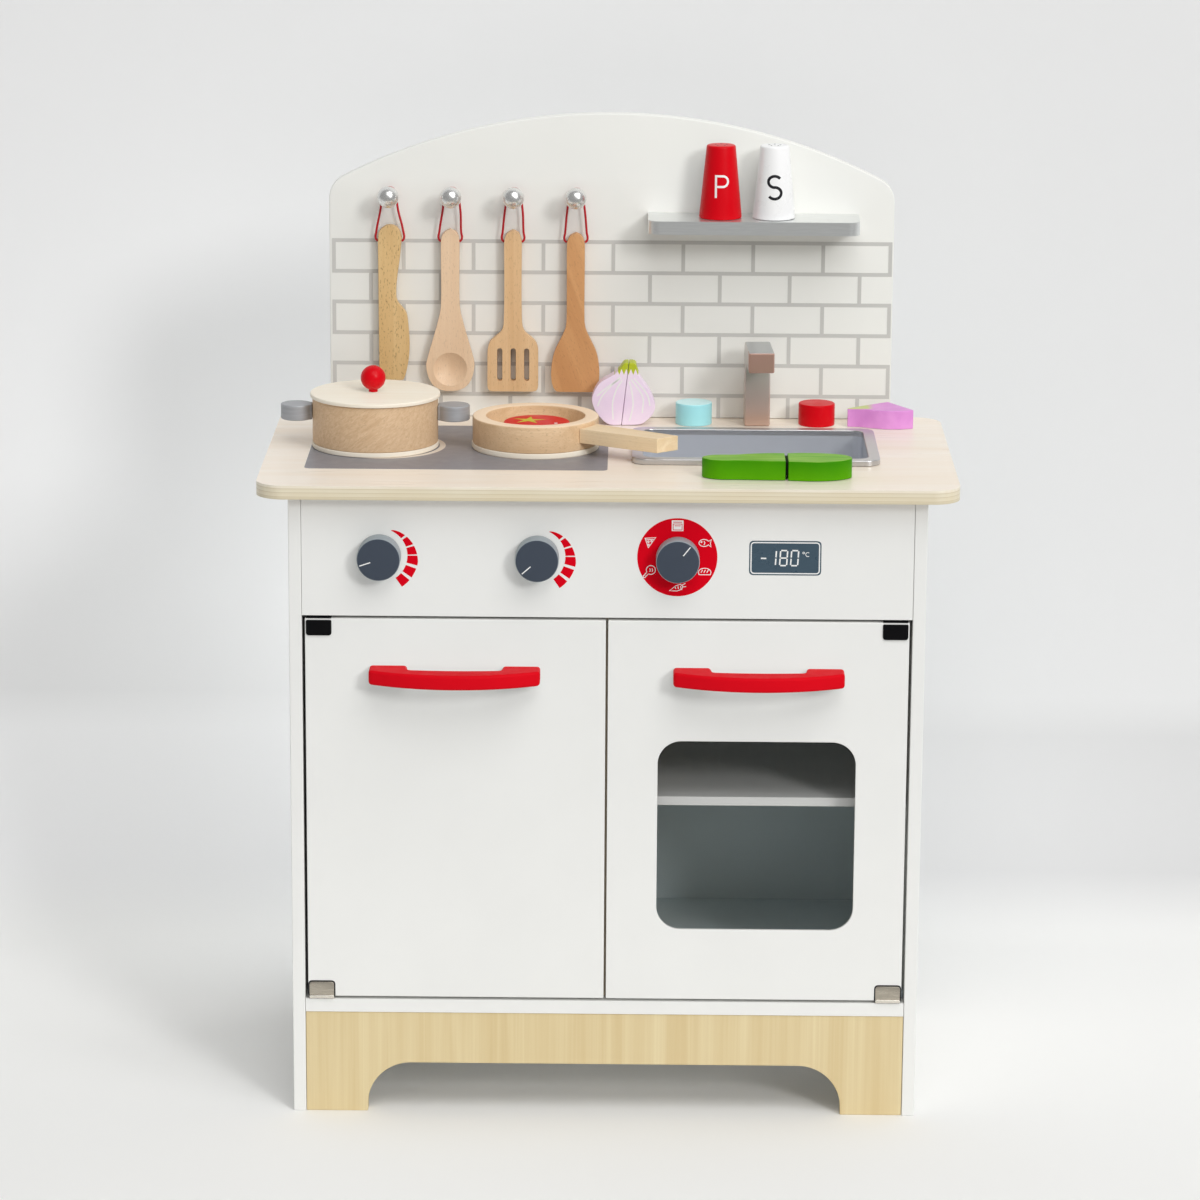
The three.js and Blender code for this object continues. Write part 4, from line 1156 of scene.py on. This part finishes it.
def onion_stripes():
    """White lines that follow the bulb's round sides, on the front and the back."""
    low, high = span("onion_left")
    sets = {
        "onion_left": [[(9.6, 611), (1, 604), (-7.6, 594), (-11.4, 585)],
                       [(10.6, 609), (5.4, 600), (2.2, 588), (2.8, 573)],
                       [(9, 612), (4, 607.6), (-4, 601.6), (-12, 594.6)]],
        "onion_right": [[(18.6, 610), (24, 603), (29.6, 593), (29, 579)],
                        [(17, 608), (19.4, 599), (20.6, 586), (17.6, 572)],
                        [(21, 611), (27, 604.6), (33.4, 596), (36, 586)]],
    }
    for node, lines in sets.items():
        curved = [catmull(line) for line in lines]
        ribbons(f"{node}_stripes", curved, 1.2, 0.1, front(low.y), PRINT_WHITE, node)
        ribbons(f"{node}_back_stripes", curved, 1.2, 0.1, behind(high.y), PRINT_WHITE, node)


# ---- back ----
def back_screws():
    """Screws along the back panel's edges."""
    low, high = span("back_panel")
    inset = 8
    across = [low.x + inset + (high.x - low.x - 2 * inset) * k / 4 for k in range(5)]
    spots = [(x, z) for x in across for z in (low.z + inset, high.z - inset)]
    spots += [(x, (low.z + high.z) / 2) for x in (low.x + inset, high.x - inset)]
    for i, (x, z) in enumerate(spots):
        screw(f"back_screw_{i + 1}", x, z, high.y, "cabinet", 3.2)


# ---- studio ----
def studio():
    """A sheet of paper: the floor, a bend and the wall. Sizes are in metres."""
    wide, deep, tall, bend = 7.0, 0.55, 4.0, 0.2
    section = [(-0.9, 0.0), (deep - bend, 0.0)]
    turns = [math.pi / 2 * k / 16 for k in range(1, 17)]
    section += [(deep - bend + bend * math.sin(t), bend - bend * math.cos(t)) for t in turns]
    section.append((deep, tall))
    points = [(x, y, z) for y, z in section for x in (-wide, wide)]
    faces = [(2 * i, 2 * i + 1, 2 * i + 3, 2 * i + 2) for i in range(len(section) - 1)]
    mesh = bpy.data.meshes.new("studio_sweep")
    mesh.from_pydata(points, [], faces)
    finish_mesh(mesh, BACKDROP[0])
    sweep = bpy.data.objects.new("studio_sweep", mesh)
    bpy.context.scene.collection.objects.link(sweep)


def lamp(name, kind, energy, place, target=(0, 0, 0.45), **settings):
    """A light at a place, looking at a target, in metres."""
    made = bpy.data.lights.new(name, kind)
    made.energy = energy
    for key, value in settings.items():
        setattr(made, key, value)
    shown = bpy.data.objects.new(name, made)
    shown.location = place
    shown.rotation_euler = (Vector(target) - Vector(place)).to_track_quat("-Z", "Y").to_euler()
    bpy.context.scene.collection.objects.link(shown)
    return shown


def lights():
    """A sun and a softbox from the right, a low fill in front, and a small lamp on the wall behind."""
    lamp("key", "SUN", 0.92, (0.64, -1.0, 0.97), angle=math.radians(13))
    lamp("softbox", "AREA", 60, (0.9, -1.9, 3.3), (0, 0, 0.6), shape="RECTANGLE", size=3.0, size_y=2.2)
    fill = lamp("low_fill", "AREA", 10, (0.3, -4.4, 0.55), (0, 0, 0.4),
                shape="RECTANGLE", size=2.4, size_y=0.8)
    fill.visible_glossy = False
    wall = lamp("wall_lamp", "AREA", 0.6, (-0.13, 0.3, 0.28), (-0.43, 0.63, 0.26), shape="SQUARE", size=0.2)
    wall.visible_camera = False
    world = bpy.data.worlds.new("studio")
    world.use_nodes = True
    backdrop = world.node_tree.nodes["Background"]
    backdrop.inputs["Color"].default_value = (1, 1, 1, 1)
    backdrop.inputs["Strength"].default_value = 0.31
    bpy.context.scene.world = world
    bpy.context.scene.view_settings.view_transform = "Standard"


def hold_back_glow():
    """Bright paint tints the white boards round it far more than it should, so its glow is left out."""
    for shown in bpy.context.scene.objects:
        if GLOWING & {slot.material for slot in shown.material_slots}:
            shown.visible_diffuse = False


soften_boards()
soften_fittings_and_food()
splashback()
brick_print()
hob()
oven_inside()
hooks()
tap_knobs()
sink_drain()
control_knobs()
heat_scales()
oven_dial()
display()
hinge_clips()
magnets()
shakers()
pot()
pan()
tomato()
cut_patches()
onion_stripes()
back_screws()
studio()
lights()
hold_back_glow()
